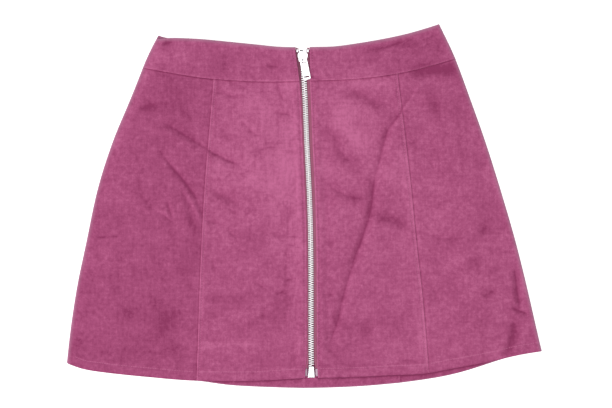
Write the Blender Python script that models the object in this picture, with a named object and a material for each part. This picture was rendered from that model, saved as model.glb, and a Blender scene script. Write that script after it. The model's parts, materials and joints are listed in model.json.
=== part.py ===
"""An A-line mini skirt in suede-faced cloth, laid flat with its front up.

Four front panels, four back panels and a shaped waistband, closed by a metal zip that runs the whole
front and is left open to view. Lengths below are in millimetres and MM turns them into metres. +X runs
across the hem, +Y up to the waist and +Z up from the table. Left and right are as seen from above.
"""

import math

import bmesh
import bpy
import numpy as np
from mathutils import Vector

MM = 0.001

# Cloth
CLOTH = 1.1                # one layer
BAND_CLOTH = 2.0           # the waistband: outer layer and lining layer together
TURN_UP = 0.9              # what a turned hem or zip edge adds to one layer
SEAM_ALLOWANCE = 0.5       # what the allowances under an edge-stitched seam add
SEAM_GAP = 0.3             # between neighbouring pieces
PANEL_ROLL = 2.15          # outer radius of the soft fold at a side seam
BAND_ROLL = 2.6
FRONT_UNDERSIDE = 3.5      # height of the front's underside above the table
ROLL_ANGLES = (0, 30, 60)  # degrees, where the side fold has its columns before it is level
EDGE_FADE = 20.0           # no crease reaches nearer to a side edge than its start

# Zip
TAPE = 0.8
TAPE_REACH = 16.0          # from the zip's middle to a tape's outer edge
TEETH_WIDTH = 6.0
TEETH_DEPTH = 2.2
FILM_TOP = -194.4
FILM_BOTTOM = -203.4
CHAIN_TOP = 178.5
BOX_TOP = -191.4
BOX_BOTTOM = -205.1
BOX_DEPTH = 3.2
BOX_WIDTHS = (6.4, 8.7)    # top, bottom

# Slider and its pull tab
SLIDER_TOP = 190.0
SLIDER_BOTTOM = 173.0
PLATE = 1.0
WEDGE_TIP = 181.5          # where the wedge that parts the teeth begins
FLANGE = 0.65
BAIL_WIDTH = 1.6
BAIL_METAL = 0.95
BAIL_RISE = 2.15           # the free height under the bail
BAIL_FEET = (187.0, 174.0)
HINGE_Y = 175.9
HINGE_RISE = 1.1           # the hinge line above the slider's top plate
PULL_METAL = 1.0
PULL_SKEW = 11.0           # degrees that the tab lies off the zip's line
PULL_SHIFT = 0.6           # how far it has slid along the bail's crossing
PULL_LENGTH = 24.8
PULL_EYE = (4.4, 4.6)      # width and length of the eye round the bail
PULL_SLOT = (6.4, 1.9)
PULL_SLOT_FROM_END = 2.4
STOP_OFFSET = 6.3
STOP_SIZE = (2.5, 3.6, 1.5)

# y, then x of: left side, left princess seam, zip, right princess seam, right side
UPRIGHTS = (
    (218, -168.0, -102.9, -2.8, 104.6, 161.8),
    (180, -187.6, -106.0, -1.8, 109.1, 179.9),
    (132, -206.9, -110.0, 0.8, 114.9, 197.8),
    (75, -230.6, -114.9, 3.1, 121.9, 218.0),
    (17, -248.7, -119.5, 6.0, 128.6, 236.2),
    (-40, -260.6, -122.6, 7.7, 134.0, 252.8),
    (-98, -272.7, -125.1, 8.1, 140.7, 267.3),
    (-156, -281.2, -127.0, 8.1, 145.9, 280.6),
    (-210, -286.8, -128.8, 8.7, 150.1, 293.8),
)
# y, then how far the cloth's two turned edges stand from the zip's middle
ZIP_EDGES = (
    (192, 8.5, 8.7),
    (183, 8.5, 8.4),
    (176, 7.7, 8.4),
    (170, 6.9, 8.1),
    (160, 6.0, 7.4),
    (150, 5.4, 7.0),
    (120, 4.9, 6.8),
    (0, 4.9, 6.7),
    (-180, 5.0, 6.9),
    (-192, 6.4, 7.1),
    (-198, 7.5, 7.6),
    (-215, 7.9, 7.9),
)
# y, then how far a tape's inner edge stands from the zip's middle
TAPE_EDGES = ((190, 5.0), (184, 5.0), (178.5, 3.3), (-188, 3.3), (-191, 4.8), (-206, 4.8))
# y, then how far the zip lifts the front there
ZIP_LIFTS = ((218, 1.9), (166, 1.9), (126, 0.0), (-150, 0.0), (-186, 1.2), (-215, 1.2))
# x, y of the lines that run across
FRONT_TOP = (
    (-177, 200.4), (-161, 201.8), (-131, 200.8), (-93, 197.4), (-56, 193.7), (-21, 190.4),
    (28, 190.9), (66, 195.6), (103, 202.1), (131, 208.7), (162, 218.3),
)
BACK_TOP = ((-175, 204.6), (-165, 200.6), (-120, 197.0), (0, 186.0), (110, 200.5), (162, 217.0))
BAND_SEAM = (
    (-190, 165.7), (-164, 160.9), (-112, 153.0), (-42, 149.4), (3, 150.4),
    (57, 152.5), (103, 157.7), (141, 165.6), (182, 177.4),
)
FRONT_HEM = (
    (-284, -188.0), (-274, -193.2), (-253, -197.2), (-186, -204.5), (-125, -209.0), (-70, -209.2),
    (3, -205.4), (52, -204.5), (103, -202.1), (139, -200.6), (180, -193.7), (233, -183.7),
    (259, -177.6), (285, -173.6),
)
BACK_HEM = (
    (-284, -187.4), (-253, -196.4), (-186, -203.6), (-125, -209.2), (-101, -213.6), (-65, -216.0),
    (3, -218.0), (52, -216.7), (103, -212.9), (139, -208.5), (163, -205.0), (210, -192.8),
    (233, -184.2), (259, -177.0), (285, -173.2),
)
# y, then x of the back's left princess seam, centre seam and right princess seam
BACK_UPRIGHTS = ((218, -97.0, -2.0, 95.0), (-220, -117.0, -0.8, 115.5))

# The largest creases of the front. Each bends from its start, towards its bend, to its end.
# name, rise, half width, start x, y, bend x, y, end x, y
CREASES = (
    ("long crease, upper", -1.1, 9, 168, 164, 120, 132, 97, 84),
    ("long crease, lower", -1.1, 9, 97, 84, 84, 0, 30, -168),
    ("long ridge, upper", 1.2, 12, 178, 152, 130, 120, 110, 80),
    ("long ridge, lower", 1.2, 12, 110, 80, 97, 0, 44, -164),
    ("left drag line", -0.9, 9, -185, 108, -130, 76, -78, 47),
    ("left drag ridge", 0.9, 10, -176, 86, -130, 60, -96, 38),
    ("left crease", -1.2, 9, -164, 53, -143, 24, -123, -3),
    ("left crease ridge", 1.1, 10, -176, 44, -156, 14, -134, -14),
    ("left soft hollow", -0.7, 11, -107, 16, -90, 6, -77, -8),
    ("right edge crease", -0.9, 8, 240, -62, 246, -100, 246, -150),
    ("hollow under the band", -1.1, 11, 138, 161, 156, 163, 175, 166),
    ("lifted hem", 1.2, 15, 110, -200, 124, -201, 138, -199),
    ("left side belly", 0.7, 42, -205, 70, -222, -40, -238, -150),
    ("left centre belly", 0.6, 34, -58, 110, -62, -20, -66, -160),
    ("right centre belly", 0.5, 20, 48, 120, 44, 40, 34, -60),
    ("right side belly", 0.7, 32, 168, 110, 190, -20, 205, -150),
)
CREASE_STEPS = 14

# plan of the slider's plates: y, half width
SLIDER_PLAN = (
    (190.0, 2.4), (189.2, 3.6), (187.6, 4.2), (184.8, 4.4), (183.6, 4.6), (182.6, 5.7), (181.6, 6.0),
    (178.6, 5.8), (176.6, 5.0), (173.8, 4.7), (173.0, 4.0),
)
# plan of the pull tab, from its hinge line: distance, half width
PULL_PLAN = (
    (-0.5, 3.6), (1.2, 4.1), (4.5, 4.4), (14.0, 4.4), (23.2, 4.4), (24.3, 4.0), (24.8, 3.1),
)

COLOURS = {
    "suede_light": ((0.44, 0.098, 0.217), 0.92, 0.0),
    "suede_dark": ((0.37, 0.074, 0.178), 0.92, 0.0),
    "tape": ((0.21, 0.075, 0.125), 0.85, 0.0),
    "nickel": ((0.86, 0.87, 0.88), 0.22, 1.0),
    "film": ((0.62, 0.50, 0.60), 0.25, 0.0),
}


# ---------------------------------------------------------------- lines and heights


def smooth_line(rows, column=1):
    """One column of a table as a smooth function of its first column, with no overshoot."""
    rows = sorted(rows)
    knots = np.array([row[0] for row in rows], float)
    values = np.array([row[column] for row in rows], float)
    gaps = np.diff(knots)
    slopes = np.diff(values) / gaps
    tangents = np.zeros(len(knots))
    tangents[0], tangents[-1] = slopes[0], slopes[-1]
    for i in range(1, len(knots) - 1):
        before, after = slopes[i - 1], slopes[i]
        if before * after > 0:
            tangents[i] = 2 * before * after / (before + after)

    def read(where):
        if where <= knots[0]:
            return float(values[0] + tangents[0] * (where - knots[0]))
        if where >= knots[-1]:
            return float(values[-1] + tangents[-1] * (where - knots[-1]))
        i = int(np.searchsorted(knots, where, side="right")) - 1
        t = (where - knots[i]) / gaps[i]
        bend = (values[i] * (1 + 2 * t) + gaps[i] * tangents[i] * t) * (1 - t) ** 2
        bend += (values[i + 1] * (3 - 2 * t) - gaps[i] * tangents[i + 1] * (1 - t)) * t**2
        return float(bend)

    return read


def shifted(line, offset):
    return lambda where: line(where) + offset


def ease(value, low, high):
    """0 below low, 1 above high and smooth between them."""
    t = min(max((value - low) / (high - low), 0.0), 1.0)
    return t * t * (3 - 2 * t)


left_side, left_princess, zip_middle, right_princess, right_side = (
    smooth_line(UPRIGHTS, column) for column in range(1, 6)
)
back_left_princess, back_centre, back_right_princess = (
    smooth_line(BACK_UPRIGHTS, column) for column in range(1, 4)
)
zip_gap_left, zip_gap_right = smooth_line(ZIP_EDGES, 1), smooth_line(ZIP_EDGES, 2)
tape_gap = smooth_line(TAPE_EDGES)
zip_lift = smooth_line(ZIP_LIFTS)
front_top, back_top = smooth_line(FRONT_TOP), smooth_line(BACK_TOP)
band_seam = smooth_line(BAND_SEAM)
front_hem, back_hem = smooth_line(FRONT_HEM), smooth_line(BACK_HEM)


def zip_edge_left(y):
    return zip_middle(y) - zip_gap_left(y)


def zip_edge_right(y):
    return zip_middle(y) + zip_gap_right(y)


def crease_paths():
    """Each crease as its rise, its half width and the points along it."""
    steps = np.linspace(0, 1, CREASE_STEPS)[:, None]
    for _, rise, half_width, *ends in CREASES:
        start, bend, end = np.array(ends, float).reshape(3, 2)
        path = start * (1 - steps) ** 2 + bend * 2 * steps * (1 - steps) + end * steps**2
        yield rise, half_width, path


CREASE_PATHS = list(crease_paths())


def crease_height(x, y):
    height = 0.0
    for rise, half_width, path in CREASE_PATHS:
        along = path[1:] - path[:-1]
        reach = np.array((x, y)) - path[:-1]
        share = np.clip((reach * along).sum(1) / (along**2).sum(1), 0, 1)
        distance = np.linalg.norm(reach - along * share[:, None], axis=1).min()
        if distance < half_width:
            height += rise * (1 - (distance / half_width) ** 2) ** 2
    return height


def front_underside(x, y):
    """Height of the front's underside away from the side folds."""
    from_zip = abs(x - zip_middle(y))
    from_side = min(x - left_side(y), right_side(y) - x)
    calm = ease(from_zip, TAPE_REACH + 1, TAPE_REACH + 14) * ease(from_side, 3, EDGE_FADE)
    lift = zip_lift(y) * (1 - ease(from_zip, TAPE_REACH + 1, TAPE_REACH + 34))
    return FRONT_UNDERSIDE + lift + crease_height(x, y) * calm


def tape_height(y):
    """Height of the middle of the zip's tapes and teeth."""
    return FRONT_UNDERSIDE + zip_lift(y) - SEAM_GAP - TAPE / 2


# ---------------------------------------------------------------- bodies


def material(name):
    found = bpy.data.materials.get(name)
    if found:
        return found
    made = bpy.data.materials.new(name)
    made.use_nodes = True
    colour, roughness, metallic = COLOURS[name]
    made.diffuse_color = (*colour, 1.0)
    shader = made.node_tree.nodes["Principled BSDF"]
    shader.inputs["Base Color"].default_value = (*colour, 1.0)
    shader.inputs["Roughness"].default_value = roughness
    shader.inputs["Metallic"].default_value = metallic
    return made


def add_object(name, bm, finish, sharp_over=40):
    """Adds the shape as an object of its own, its faces turned outwards."""
    bmesh.ops.recalc_face_normals(bm, faces=bm.faces)
    if bm.calc_volume(signed=True) < 0:
        bmesh.ops.reverse_faces(bm, faces=bm.faces)
    mesh = bpy.data.meshes.new(name)
    bm.to_mesh(mesh)
    bm.free()
    mesh.shade_smooth()
    mesh.set_sharp_from_angle(angle=math.radians(sharp_over))
    mesh.materials.append(material(finish))
    obj = bpy.data.objects.new(name, mesh)
    bpy.context.scene.collection.objects.link(obj)
    return obj


def spaced(first, last, count):
    """Evenly spaced shares of a panel, none of them thicker than the cloth."""
    return [(first + (last - first) * k / count, 0.0) for k in range(count + 1)]


def wall(name, columns, rows, place, finish):
    """One closed sheet: a grid of columns and rows, doubled, with place giving each skin's points."""
    bm = bmesh.new()
    column_of = bm.verts.layers.int.new("column")
    row_of = bm.verts.layers.int.new("row")
    across, down = len(columns), len(rows)
    bmesh.ops.create_grid(bm, x_segments=across - 1, y_segments=down - 1, size=1)
    for vert in bm.verts:
        vert[column_of] = round((vert.co.x + 1) / 2 * (across - 1))
        vert[row_of] = round((vert.co.y + 1) / 2 * (down - 1))
    outer = list(bm.verts)
    doubled = bmesh.ops.extrude_face_region(bm, geom=bm.faces[:], use_keep_orig=True)
    inner = [item for item in doubled["geom"] if isinstance(item, bmesh.types.BMVert)]
    for skin, verts in enumerate((outer, inner)):
        for vert in verts:
            point = place(columns[vert[column_of]], rows[vert[row_of]], skin)
            vert.co = Vector(point) * MM
    return add_object(name, bm, finish)


def meeting(upright, level):
    """Where a line down the skirt, x from y, meets a line across it, y from x."""
    y = 0.0
    for _ in range(40):
        x = upright(y)
        y = level(x)
    return Vector((x, y))


def patch(near, far, top, bottom):
    """Points of a panel between four lines, by its share across from near and down from top."""
    near_top, far_top = meeting(near, top), meeting(far, top)
    near_low, far_low = meeting(near, bottom), meeting(far, bottom)

    def point(across, down):
        x_top = near_top.lerp(far_top, across).x
        x_low = near_low.lerp(far_low, across).x
        y_near = near_top.lerp(near_low, down).y
        y_far = far_top.lerp(far_low, down).y
        upper = Vector((x_top, top(x_top)))
        lower = Vector((x_low, bottom(x_low)))
        first = Vector((near(y_near), y_near))
        last = Vector((far(y_far), y_far))
        corners = near_top.lerp(far_top, across).lerp(near_low.lerp(far_low, across), down)
        return upper.lerp(lower, down) + first.lerp(last, across) - corners

    return point


def rolled(point, down, inset, far=False):
    """The point that lies inset millimetres in from the side fold, along its row."""
    start, end = (point(1, down), point(0, down)) if far else (point(0, down), point(1, down))
    return start + (end - start).normalized() * inset


def panel(name, lines, columns, rows, layer, roll, up, finish, folds=("near",)):
    """A piece of the skirt. Up is 1 for the front and -1 for the back, whose outside faces the table."""
    point = patch(*lines)
    fold_columns = [("roll", angle) for angle in ROLL_ANGLES]
    near = fold_columns if "near" in folds else []
    far = [("far roll", angle) for _, angle in reversed(fold_columns)] if "far" in folds else []
    all_columns = near + list(columns) + far
    fold_height = roll + SEAM_GAP if up > 0 else roll

    def place(column, row, skin):
        down, row_extra = row
        if column[0] in ("roll", "far roll"):
            thickness = layer + row_extra
            angle = math.radians(column[1])
            radius = roll - thickness * skin
            spot = rolled(point, down, roll - radius * math.cos(angle), column[0] == "far roll")
            return spot.x, spot.y, fold_height + up * radius * math.sin(angle)
        across, column_extra = column
        width = (point(1, down) - point(0, down)).length
        first = roll / width if near else 0.0
        last = 1 - roll / width if far else 1.0
        spot = point(first + (last - first) * across, down)
        thickness = layer + max(row_extra, column_extra)
        if up < 0:
            return spot.x, spot.y, thickness * skin
        level = front_underside(spot.x, spot.y)
        if near or far:
            inset = across * width if near else (1 - across) * width
            top_of_fold = fold_height + roll - thickness
            level += (top_of_fold - FRONT_UNDERSIDE) * (1 - ease(inset, 0, EDGE_FADE))
        return spot.x, spot.y, level + thickness * (1 - skin)

    return wall(name, all_columns, rows, place, finish)


def prism(outline, low, high):
    """A bmesh of a flat outline, x and y in millimetres, raised from low to high."""
    bm = bmesh.new()
    base = bm.faces.new([bm.verts.new(Vector((x, y, low)) * MM) for x, y in outline])
    raised = bmesh.ops.extrude_face_region(bm, geom=[base], use_keep_orig=True)
    tops = [item for item in raised["geom"] if isinstance(item, bmesh.types.BMVert)]
    bmesh.ops.translate(bm, verts=tops, vec=(0, 0, (high - low) * MM))
    return bm


def block(x_span, y_span, z_span):
    outline = [(x_span[0], y_span[0]), (x_span[1], y_span[0]), (x_span[1], y_span[1])]
    return prism(outline + [(x_span[0], y_span[1])], *z_span)


def both_sides(plan, middle=0.0, sign=1):
    """The closed outline, symmetric about x = middle, of a plan that gives half widths."""
    right = [(middle + half, sign * y) for y, half in plan]
    left = [(middle - half, sign * y) for y, half in reversed(plan)]
    return right + left


def combined(name, first, others, finish, operation="UNION"):
    """One body from several shapes, by Boolean."""
    body = add_object(name, first, finish, sharp_over=30)
    helpers = [add_object(f"{name}_helper_{k}", bm, finish) for k, bm in enumerate(others)]
    for helper in helpers:
        cut = body.modifiers.new("join", "BOOLEAN")
        cut.operation = operation
        cut.object = helper
    bpy.context.view_layer.update()
    graph = bpy.context.evaluated_depsgraph_get()
    mesh = bpy.data.meshes.new_from_object(body.evaluated_get(graph))
    body.modifiers.clear()
    body.data = mesh
    mesh.set_sharp_from_angle(angle=math.radians(30))
    for helper in helpers:
        bpy.data.objects.remove(helper)
    return body


# ---------------------------------------------------------------- the skirt


BODY_ROWS = spaced(0, 0.93, 20) + [(0.958, 0.0), (0.967, TURN_UP), (1.0, TURN_UP)]
BACK_ROWS = spaced(0, 0.93, 10) + [(0.958, 0.0), (0.967, TURN_UP), (1.0, TURN_UP)]
BAND_ROWS = spaced(0, 1, 5)
# from the princess seam to the zip: share across, extra thickness
CENTRE_COLUMNS = (
    [(0.0, SEAM_ALLOWANCE), (0.05, SEAM_ALLOWANCE), (0.08, 0.0)]
    + spaced(0.16, 0.85, 8)
    + [(0.91, 0.0), (0.93, TURN_UP), (1.0, TURN_UP)]
)
SIDE_COLUMNS = spaced(0, 1, 9)


def make_front():
    gap = SEAM_GAP / 2
    below_band = shifted(band_seam, -gap)
    for side, edge, princess, zip_edge, out in (
        ("left", left_side, left_princess, zip_edge_left, -1),
        ("right", right_side, right_princess, zip_edge_right, 1),
    ):
        panel(
            f"front_side_{side}",
            (edge, shifted(princess, out * gap), below_band, front_hem),
            SIDE_COLUMNS, BODY_ROWS, CLOTH, PANEL_ROLL, 1, "suede_dark",
        )
        panel(
            f"front_centre_{side}",
            (shifted(princess, -out * gap), zip_edge, below_band, front_hem),
            CENTRE_COLUMNS, BODY_ROWS, CLOTH, PANEL_ROLL, 1, "suede_light", folds=(),
        )
        panel(
            f"waistband_front_{side}",
            (edge, zip_edge, front_top, shifted(band_seam, gap)),
            spaced(0, 1, 12), BAND_ROWS, BAND_CLOTH, BAND_ROLL, 1, "suede_light",
        )


def make_back():
    gap = SEAM_GAP / 2
    below_band = shifted(band_seam, -gap)
    for side, edge, princess, out in (
        ("left", left_side, back_left_princess, -1),
        ("right", right_side, back_right_princess, 1),
    ):
        panel(
            f"back_side_{side}",
            (edge, shifted(princess, out * gap), below_band, back_hem),
            spaced(0, 1, 6), BACK_ROWS, CLOTH, PANEL_ROLL, -1, "suede_dark",
        )
        panel(
            f"back_centre_{side}",
            (shifted(princess, -out * gap), shifted(back_centre, out * gap), below_band, back_hem),
            spaced(0, 1, 5), BACK_ROWS, CLOTH, PANEL_ROLL, -1, "suede_dark", folds=(),
        )
    panel(
        "waistband_back",
        (left_side, right_side, back_top, shifted(band_seam, gap)),
        spaced(0, 1, 14), BAND_ROWS, BAND_CLOTH, BAND_ROLL, -1, "suede_light", folds=("near", "far"),
    )


def make_zip():
    """The tapes, the teeth as one plain bar, the top stops, the film at the tapes' ends and the box."""
    top = SLIDER_TOP - 2
    tape_rows = [top, 184, 181] + list(np.linspace(CHAIN_TOP, -186, 22)) + [FILM_TOP + SEAM_GAP]
    for side, out in (("left", -1), ("right", 1)):

        def place(column, y, skin, out=out):
            reach = TAPE_REACH if column else tape_gap(y)
            return zip_middle(y) + out * reach, y, tape_height(y) + TAPE * (0.5 - skin)

        wall(f"zip_tape_{side}", (0, 1), tape_rows, place, "tape")
        wall(f"zip_film_{side}", (0, 1), (FILM_TOP, FILM_BOTTOM), place, "film")

    def bar(column, y, skin):
        return zip_middle(y) + TEETH_WIDTH * (column - 0.5), y, tape_height(y) + TEETH_DEPTH * (0.5 - skin)

    bar_rows = list(np.linspace(CHAIN_TOP, BOX_TOP + SEAM_GAP, 24))
    wall("zip_chain", (0, 1), bar_rows, bar, "nickel")

    stop_wide, stop_long, stop_deep = STOP_SIZE
    stop_y = 186.0
    for side, out in (("left", -1), ("right", 1)):
        middle = zip_middle(stop_y) + out * STOP_OFFSET
        low = tape_height(stop_y) + TAPE / 2 + SEAM_GAP
        stop = block(
            (middle - stop_wide / 2, middle + stop_wide / 2),
            (stop_y - stop_long / 2, stop_y + stop_long / 2),
            (low, low + stop_deep),
        )
        bmesh.ops.bevel(
            stop, geom=stop.edges[:], offset=0.4 * MM, segments=1, profile=0.5, affect="EDGES", material=-1
        )
        add_object(f"zip_top_stop_{side}", stop, "nickel")

    middle = (BOX_TOP + BOX_BOTTOM) / 2
    height = tape_height(middle)
    plan = ((BOX_TOP, BOX_WIDTHS[0] / 2), (BOX_BOTTOM, BOX_WIDTHS[1] / 2))
    box = prism(both_sides(plan, zip_middle(middle)), height - BOX_DEPTH / 2, height + BOX_DEPTH / 2)
    bmesh.ops.bevel(
        box, geom=box.edges[:], offset=0.5 * MM, segments=1, profile=0.5, affect="EDGES", material=-1
    )
    add_object("zip_box", box, "nickel")


def make_slider():
    """Two plates joined by the wedge that parts the teeth, with flanges beside the teeth and a bail."""
    middle = zip_middle((SLIDER_TOP + SLIDER_BOTTOM) / 2)
    teeth = tape_height(SLIDER_BOTTOM)
    half_teeth = TEETH_DEPTH / 2 + SEAM_GAP
    top_low, top_high = teeth + half_teeth, teeth + half_teeth + PLATE
    low_high, low_low = teeth - half_teeth, teeth - half_teeth - PLATE
    plan = both_sides(SLIDER_PLAN, middle)
    wedge_plan = ((SLIDER_TOP - 0.6, 1.9), (WEDGE_TIP + 3, 1.7), (WEDGE_TIP, 0.5))
    shapes = [
        prism(plan, low_low, low_high),
        prism(both_sides(wedge_plan, middle), low_high - PLATE / 2, top_low + PLATE / 2),
    ]
    inner = TEETH_WIDTH / 2 + SEAM_GAP + 0.05
    slot = TAPE / 2 + SEAM_GAP + 0.05
    for out in (-1, 1):
        x_span = sorted((middle + out * inner, middle + out * (inner + FLANGE)))
        y_span = (SLIDER_BOTTOM + 0.8, WEDGE_TIP + 1)
        shapes.append(block(x_span, y_span, (teeth + slot, top_low + PLATE / 2)))
        shapes.append(block(x_span, y_span, (low_high - PLATE / 2, teeth - slot)))
    shapes.append(bail(middle, top_high))
    combined("zip_slider", prism(plan, top_low, top_high), shapes, "nickel")
    return middle, top_high


def bail(middle, plate_top):
    """The arch along the slider's back, sunk a little into its top plate."""
    back, front = BAIL_FEET
    root = plate_top - PLATE / 2
    inner = plate_top + BAIL_RISE
    outer = inner + BAIL_METAL
    side_view = (
        (back, root), (back - 0.4, inner - 0.6), (back - 2.2, outer), (front + 2.2, outer),
        (front + 0.2, inner - 0.2), (front, root), (front + BAIL_METAL, root),
        (front + BAIL_METAL, inner - 0.3), (front + BAIL_METAL + 0.5, inner), (back - 2.4, inner),
        (back - BAIL_METAL - 0.5, inner - 0.9), (back - BAIL_METAL, root),
    )
    bm = bmesh.new()
    first = middle - BAIL_WIDTH / 2
    base = bm.faces.new([bm.verts.new(Vector((first, y, z)) * MM) for y, z in side_view])
    raised = bmesh.ops.extrude_face_region(bm, geom=[base], use_keep_orig=True)
    ends = [item for item in raised["geom"] if isinstance(item, bmesh.types.BMVert)]
    bmesh.ops.translate(bm, verts=ends, vec=(BAIL_WIDTH * MM, 0, 0))
    return bm


def make_pull(middle, plate_top):
    """The tab, flat on the cloth, with its origin on the hinge line under the bail."""
    half = PULL_METAL / 2
    eye_half = PULL_EYE[0] / 2
    eye = block((-eye_half, eye_half), (-half - PULL_EYE[1], -half), (-2, 2))
    slot_y = PULL_SLOT_FROM_END - PULL_LENGTH
    slot = block(
        (-PULL_SLOT[0] / 2, PULL_SLOT[0] / 2), (slot_y, slot_y + PULL_SLOT[1]), (-2, 2)
    )
    tab = prism(both_sides(PULL_PLAN, sign=-1), -half, half)
    pull = combined("zip_pull", tab, [eye, slot], "nickel", "DIFFERENCE")
    pull.location = Vector((middle + PULL_SHIFT, HINGE_Y, plate_top + HINGE_RISE)) * MM
    pull.rotation_euler.z = math.radians(PULL_SKEW)
    return pull


for old in list(bpy.data.objects):
    bpy.data.objects.remove(old)
make_back()
make_front()
make_zip()
make_pull(*make_slider())
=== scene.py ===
"""Looks of an A-line mini skirt in suede-faced cloth, laid flat with its front up.

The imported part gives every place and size. Each cloth piece here takes the form of its CAD solid, made
finer, then creased, edged and stitched. Lengths in the tables are in millimetres and MM turns them into
metres. +X runs across the hem, +Y up to the waist and +Z up from the table. Left and right are as seen
from above.
"""

import json
import math

import bmesh
import bpy
import numpy as np
from mathutils import Matrix, Vector
from mathutils.bvhtree import BVHTree


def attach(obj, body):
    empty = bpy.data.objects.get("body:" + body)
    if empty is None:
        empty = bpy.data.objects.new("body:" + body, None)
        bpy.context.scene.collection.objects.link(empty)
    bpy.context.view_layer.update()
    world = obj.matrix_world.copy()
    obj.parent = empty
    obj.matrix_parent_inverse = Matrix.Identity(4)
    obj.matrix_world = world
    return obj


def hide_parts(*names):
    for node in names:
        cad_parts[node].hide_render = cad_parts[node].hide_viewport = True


MM = 0.001

# Form of the solids
MERGE = 1e-6               # metres, between corners that are one point
SHARP = math.radians(50)   # a solid's edge is cut where its faces turn by more than this
JOINED = math.radians(35)  # triangles that turn by less than this are joined
SHORTEST_SIDE = 20.0       # of a panel: its wall's own height is less

# Cloth
FINENESS = 3               # times each cell of a cloth solid is halved
CLOTH_CELL = math.radians(60)      # how far from square a joined cell may be
SOFT_EDGE = 0.44           # how crisp a folded or cut edge stays, from 0 to 1
UPRIGHT = 0.8              # an edge that rises by more than this share of its length stays fully crisp
FAR = 1000.0               # millimetres, for a spot with no such line near it
EDGE_SPAN = 3              # points to which each span of a panel's side is made finer
ROW_SPAN = 4               # and of a row of stitches
CREASE_SPAN = 7            # and of a crease
SEAM_CLOSE = 0.38          # how far a sewn edge swells out to meet its neighbour
SEAM_REACH = 1.4           # over this width
DIP_REACH = 2.0            # how far in a sewn edge sinks towards its seam
CALM_REACH = 7.0           # how far in from a panel's edges its creases are held down
EDGE_CREASES = 0.35        # and the share of their height that is left at the edge
UNDERSIDE_TOP = 4.0        # the back's creases fade out up to this height, in the folds at its sides
SEAM_PUCKER = 0.10         # height of the puckers along a stitched seam
PUCKER_LENGTH = 9.0
PUCKER_REACH = 6.0
PUCKER_DRIFT = (1.7, 23.0)         # how far in radians, and over what length, they fall out of step
WAVES = ((46.0, 0, 0.10), (15.0, 7, 0.035))     # the cloth's unevenness: length, seed and height
WAVE_COUNT = 9             # ripples that make up one such unevenness
WAVE_LENGTHS = (0.7, 1.5)  # times its length, between which theirs lie

# How creases lie, and the shade and light painted along them
CREASE_REACH = 3.2         # half widths from its line, past which a crease isn't seen
LEAN_SHARE = 0.6           # how much a full lean narrows one flank and widens the other
SHARP_CREASE = 4.4         # a trough no wider than this gets a dark line of painted shade along its bottom
FOLD_LINE_REACH = 1.7      # how far to each side of its bottom the line reaches
FOLD_LINE_HOLD = 0.6       # below 1, the line stays dark nearer to the trough's ends
FLANK_STEP = (0.5, 0.3)    # half the step over which a flank's slope is read
STEEPEST = 0.3             # slope, above which a flank's painted shade gets no darker
TROUGH_SHADE = 0.62        # painted shade: how much darker it is painted for each millimetre that a crease sinks
RIDGE_LIGHT = 0.35         # painted highlight: and how much lighter for each millimetre that it rises
FLANK_SHADE = 0.8          # painted shade and highlight on the flanks facing away from the window and towards it

# How edges and rows of stitches shade; along the edges the shade and light are painted
SEAM_SHADING_REACH = 2.2      # how far in from a seam its painted shade and light reach
ROW_TINT_REACH = 1.1       # and to each side of a row of stitches
SHEEN_RIM_REACH = 6.0            # how far in from a folded side or a top edge the painted sheen reaches
HEM_RIM = 2.4              # times as narrow at the hem
HEM_SHADE = 1.3            # how dark the shade is that is painted on the back under the front's hem
HEM_SHADE_CLOSE = 0.72     # that shade reaches a seam's reach over this
FULL_SHARE = 0.15          # of such a reach, over which its shade is full

# Stitches
STITCH_PITCH = 2.9
STITCH_SIZE = (2.3, 0.55, 0.36)    # length, width and height
STITCH_SINK = {1: 0.04, -1: 0.15}  # how far its middle lies in cloth that faces up, and that faces down
STITCH_DIP = 0.22          # how deep a row of stitches pulls into the cloth
STITCH_DIP_REACH = 1.5
CLEAR = 50.0               # a height that is above all of the skirt
HEM_ROW = 11.0             # from the hem to its row of stitches
SEAM_ROW = 2.7
ZIP_ROW = 3.0

# Zip
TOOTH_PITCH = 2.71
TOOTH_LENGTH = 1.60        # along the zip, at its root
TOOTH_TIP = 1.10           # and at its tip
TOOTH_ROUND = 0.12
TOOTH_DEPTH = 2.2
TIP_DEPTH = 0.86           # share of that depth at its tip
TEETH_HALF = 3.0           # from the middle of the teeth to their roots
TOOTH_OVERLAP = 0.95       # how far a tooth reaches past the middle
TOOTH_START = 0.25         # pitches that each side's teeth lie off the other's middle
LEVEL = math.radians(1)    # metal faces that turn by less than this are one
CORNER = math.radians(28)  # and a corner that turns by more than this is rounded
CRISP = math.radians(40)   # shading breaks where faces turn by more than this
FLAT_FROM = 2.5            # square millimetres, from which a metal face is a flat plate
BAR_REACH = 0.8            # the bar that the pull turns on lies this near its hinge line
BAR_SHORTEST = 2.0         # and its edges are longer than this
BAR_ROUND = 0.25
STRIP_CELL = math.radians(80)      # how far from square a tape's or a film's cell may be
STRIP_ROUND = 0.2
TAPE_RIB = 0.8
TAPE_SHADE_FROM = (128.0, 152.0)   # y between which the tape turns to its painted shade beside the waistband

# The tapes' top ends: x, y and turn in degrees
TAPE_ENDS = {"left": (-9.0, 188.9, 160.0), "right": (4.6, 188.7, 30.0)}
TAPE_END_SIZE = (3.3, 3.0, 0.6)    # radius at its foot and at its top, and height
TAPE_END_NARROW = 0.42     # its width over its length
TAPE_TOP = 186.0           # the tapes' top ends lie above this y
CROWN_FROM = 188.8         # and the slider's crown above this one
# Where the dark plate lies that paints the shadow at the foot of the pull's bail, and its size
SHADOW_PLATE_AT = (-3.1, 186.5)
SHADOW_PLATE_SIZE = (4.4, 1.6, 0.08)

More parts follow.
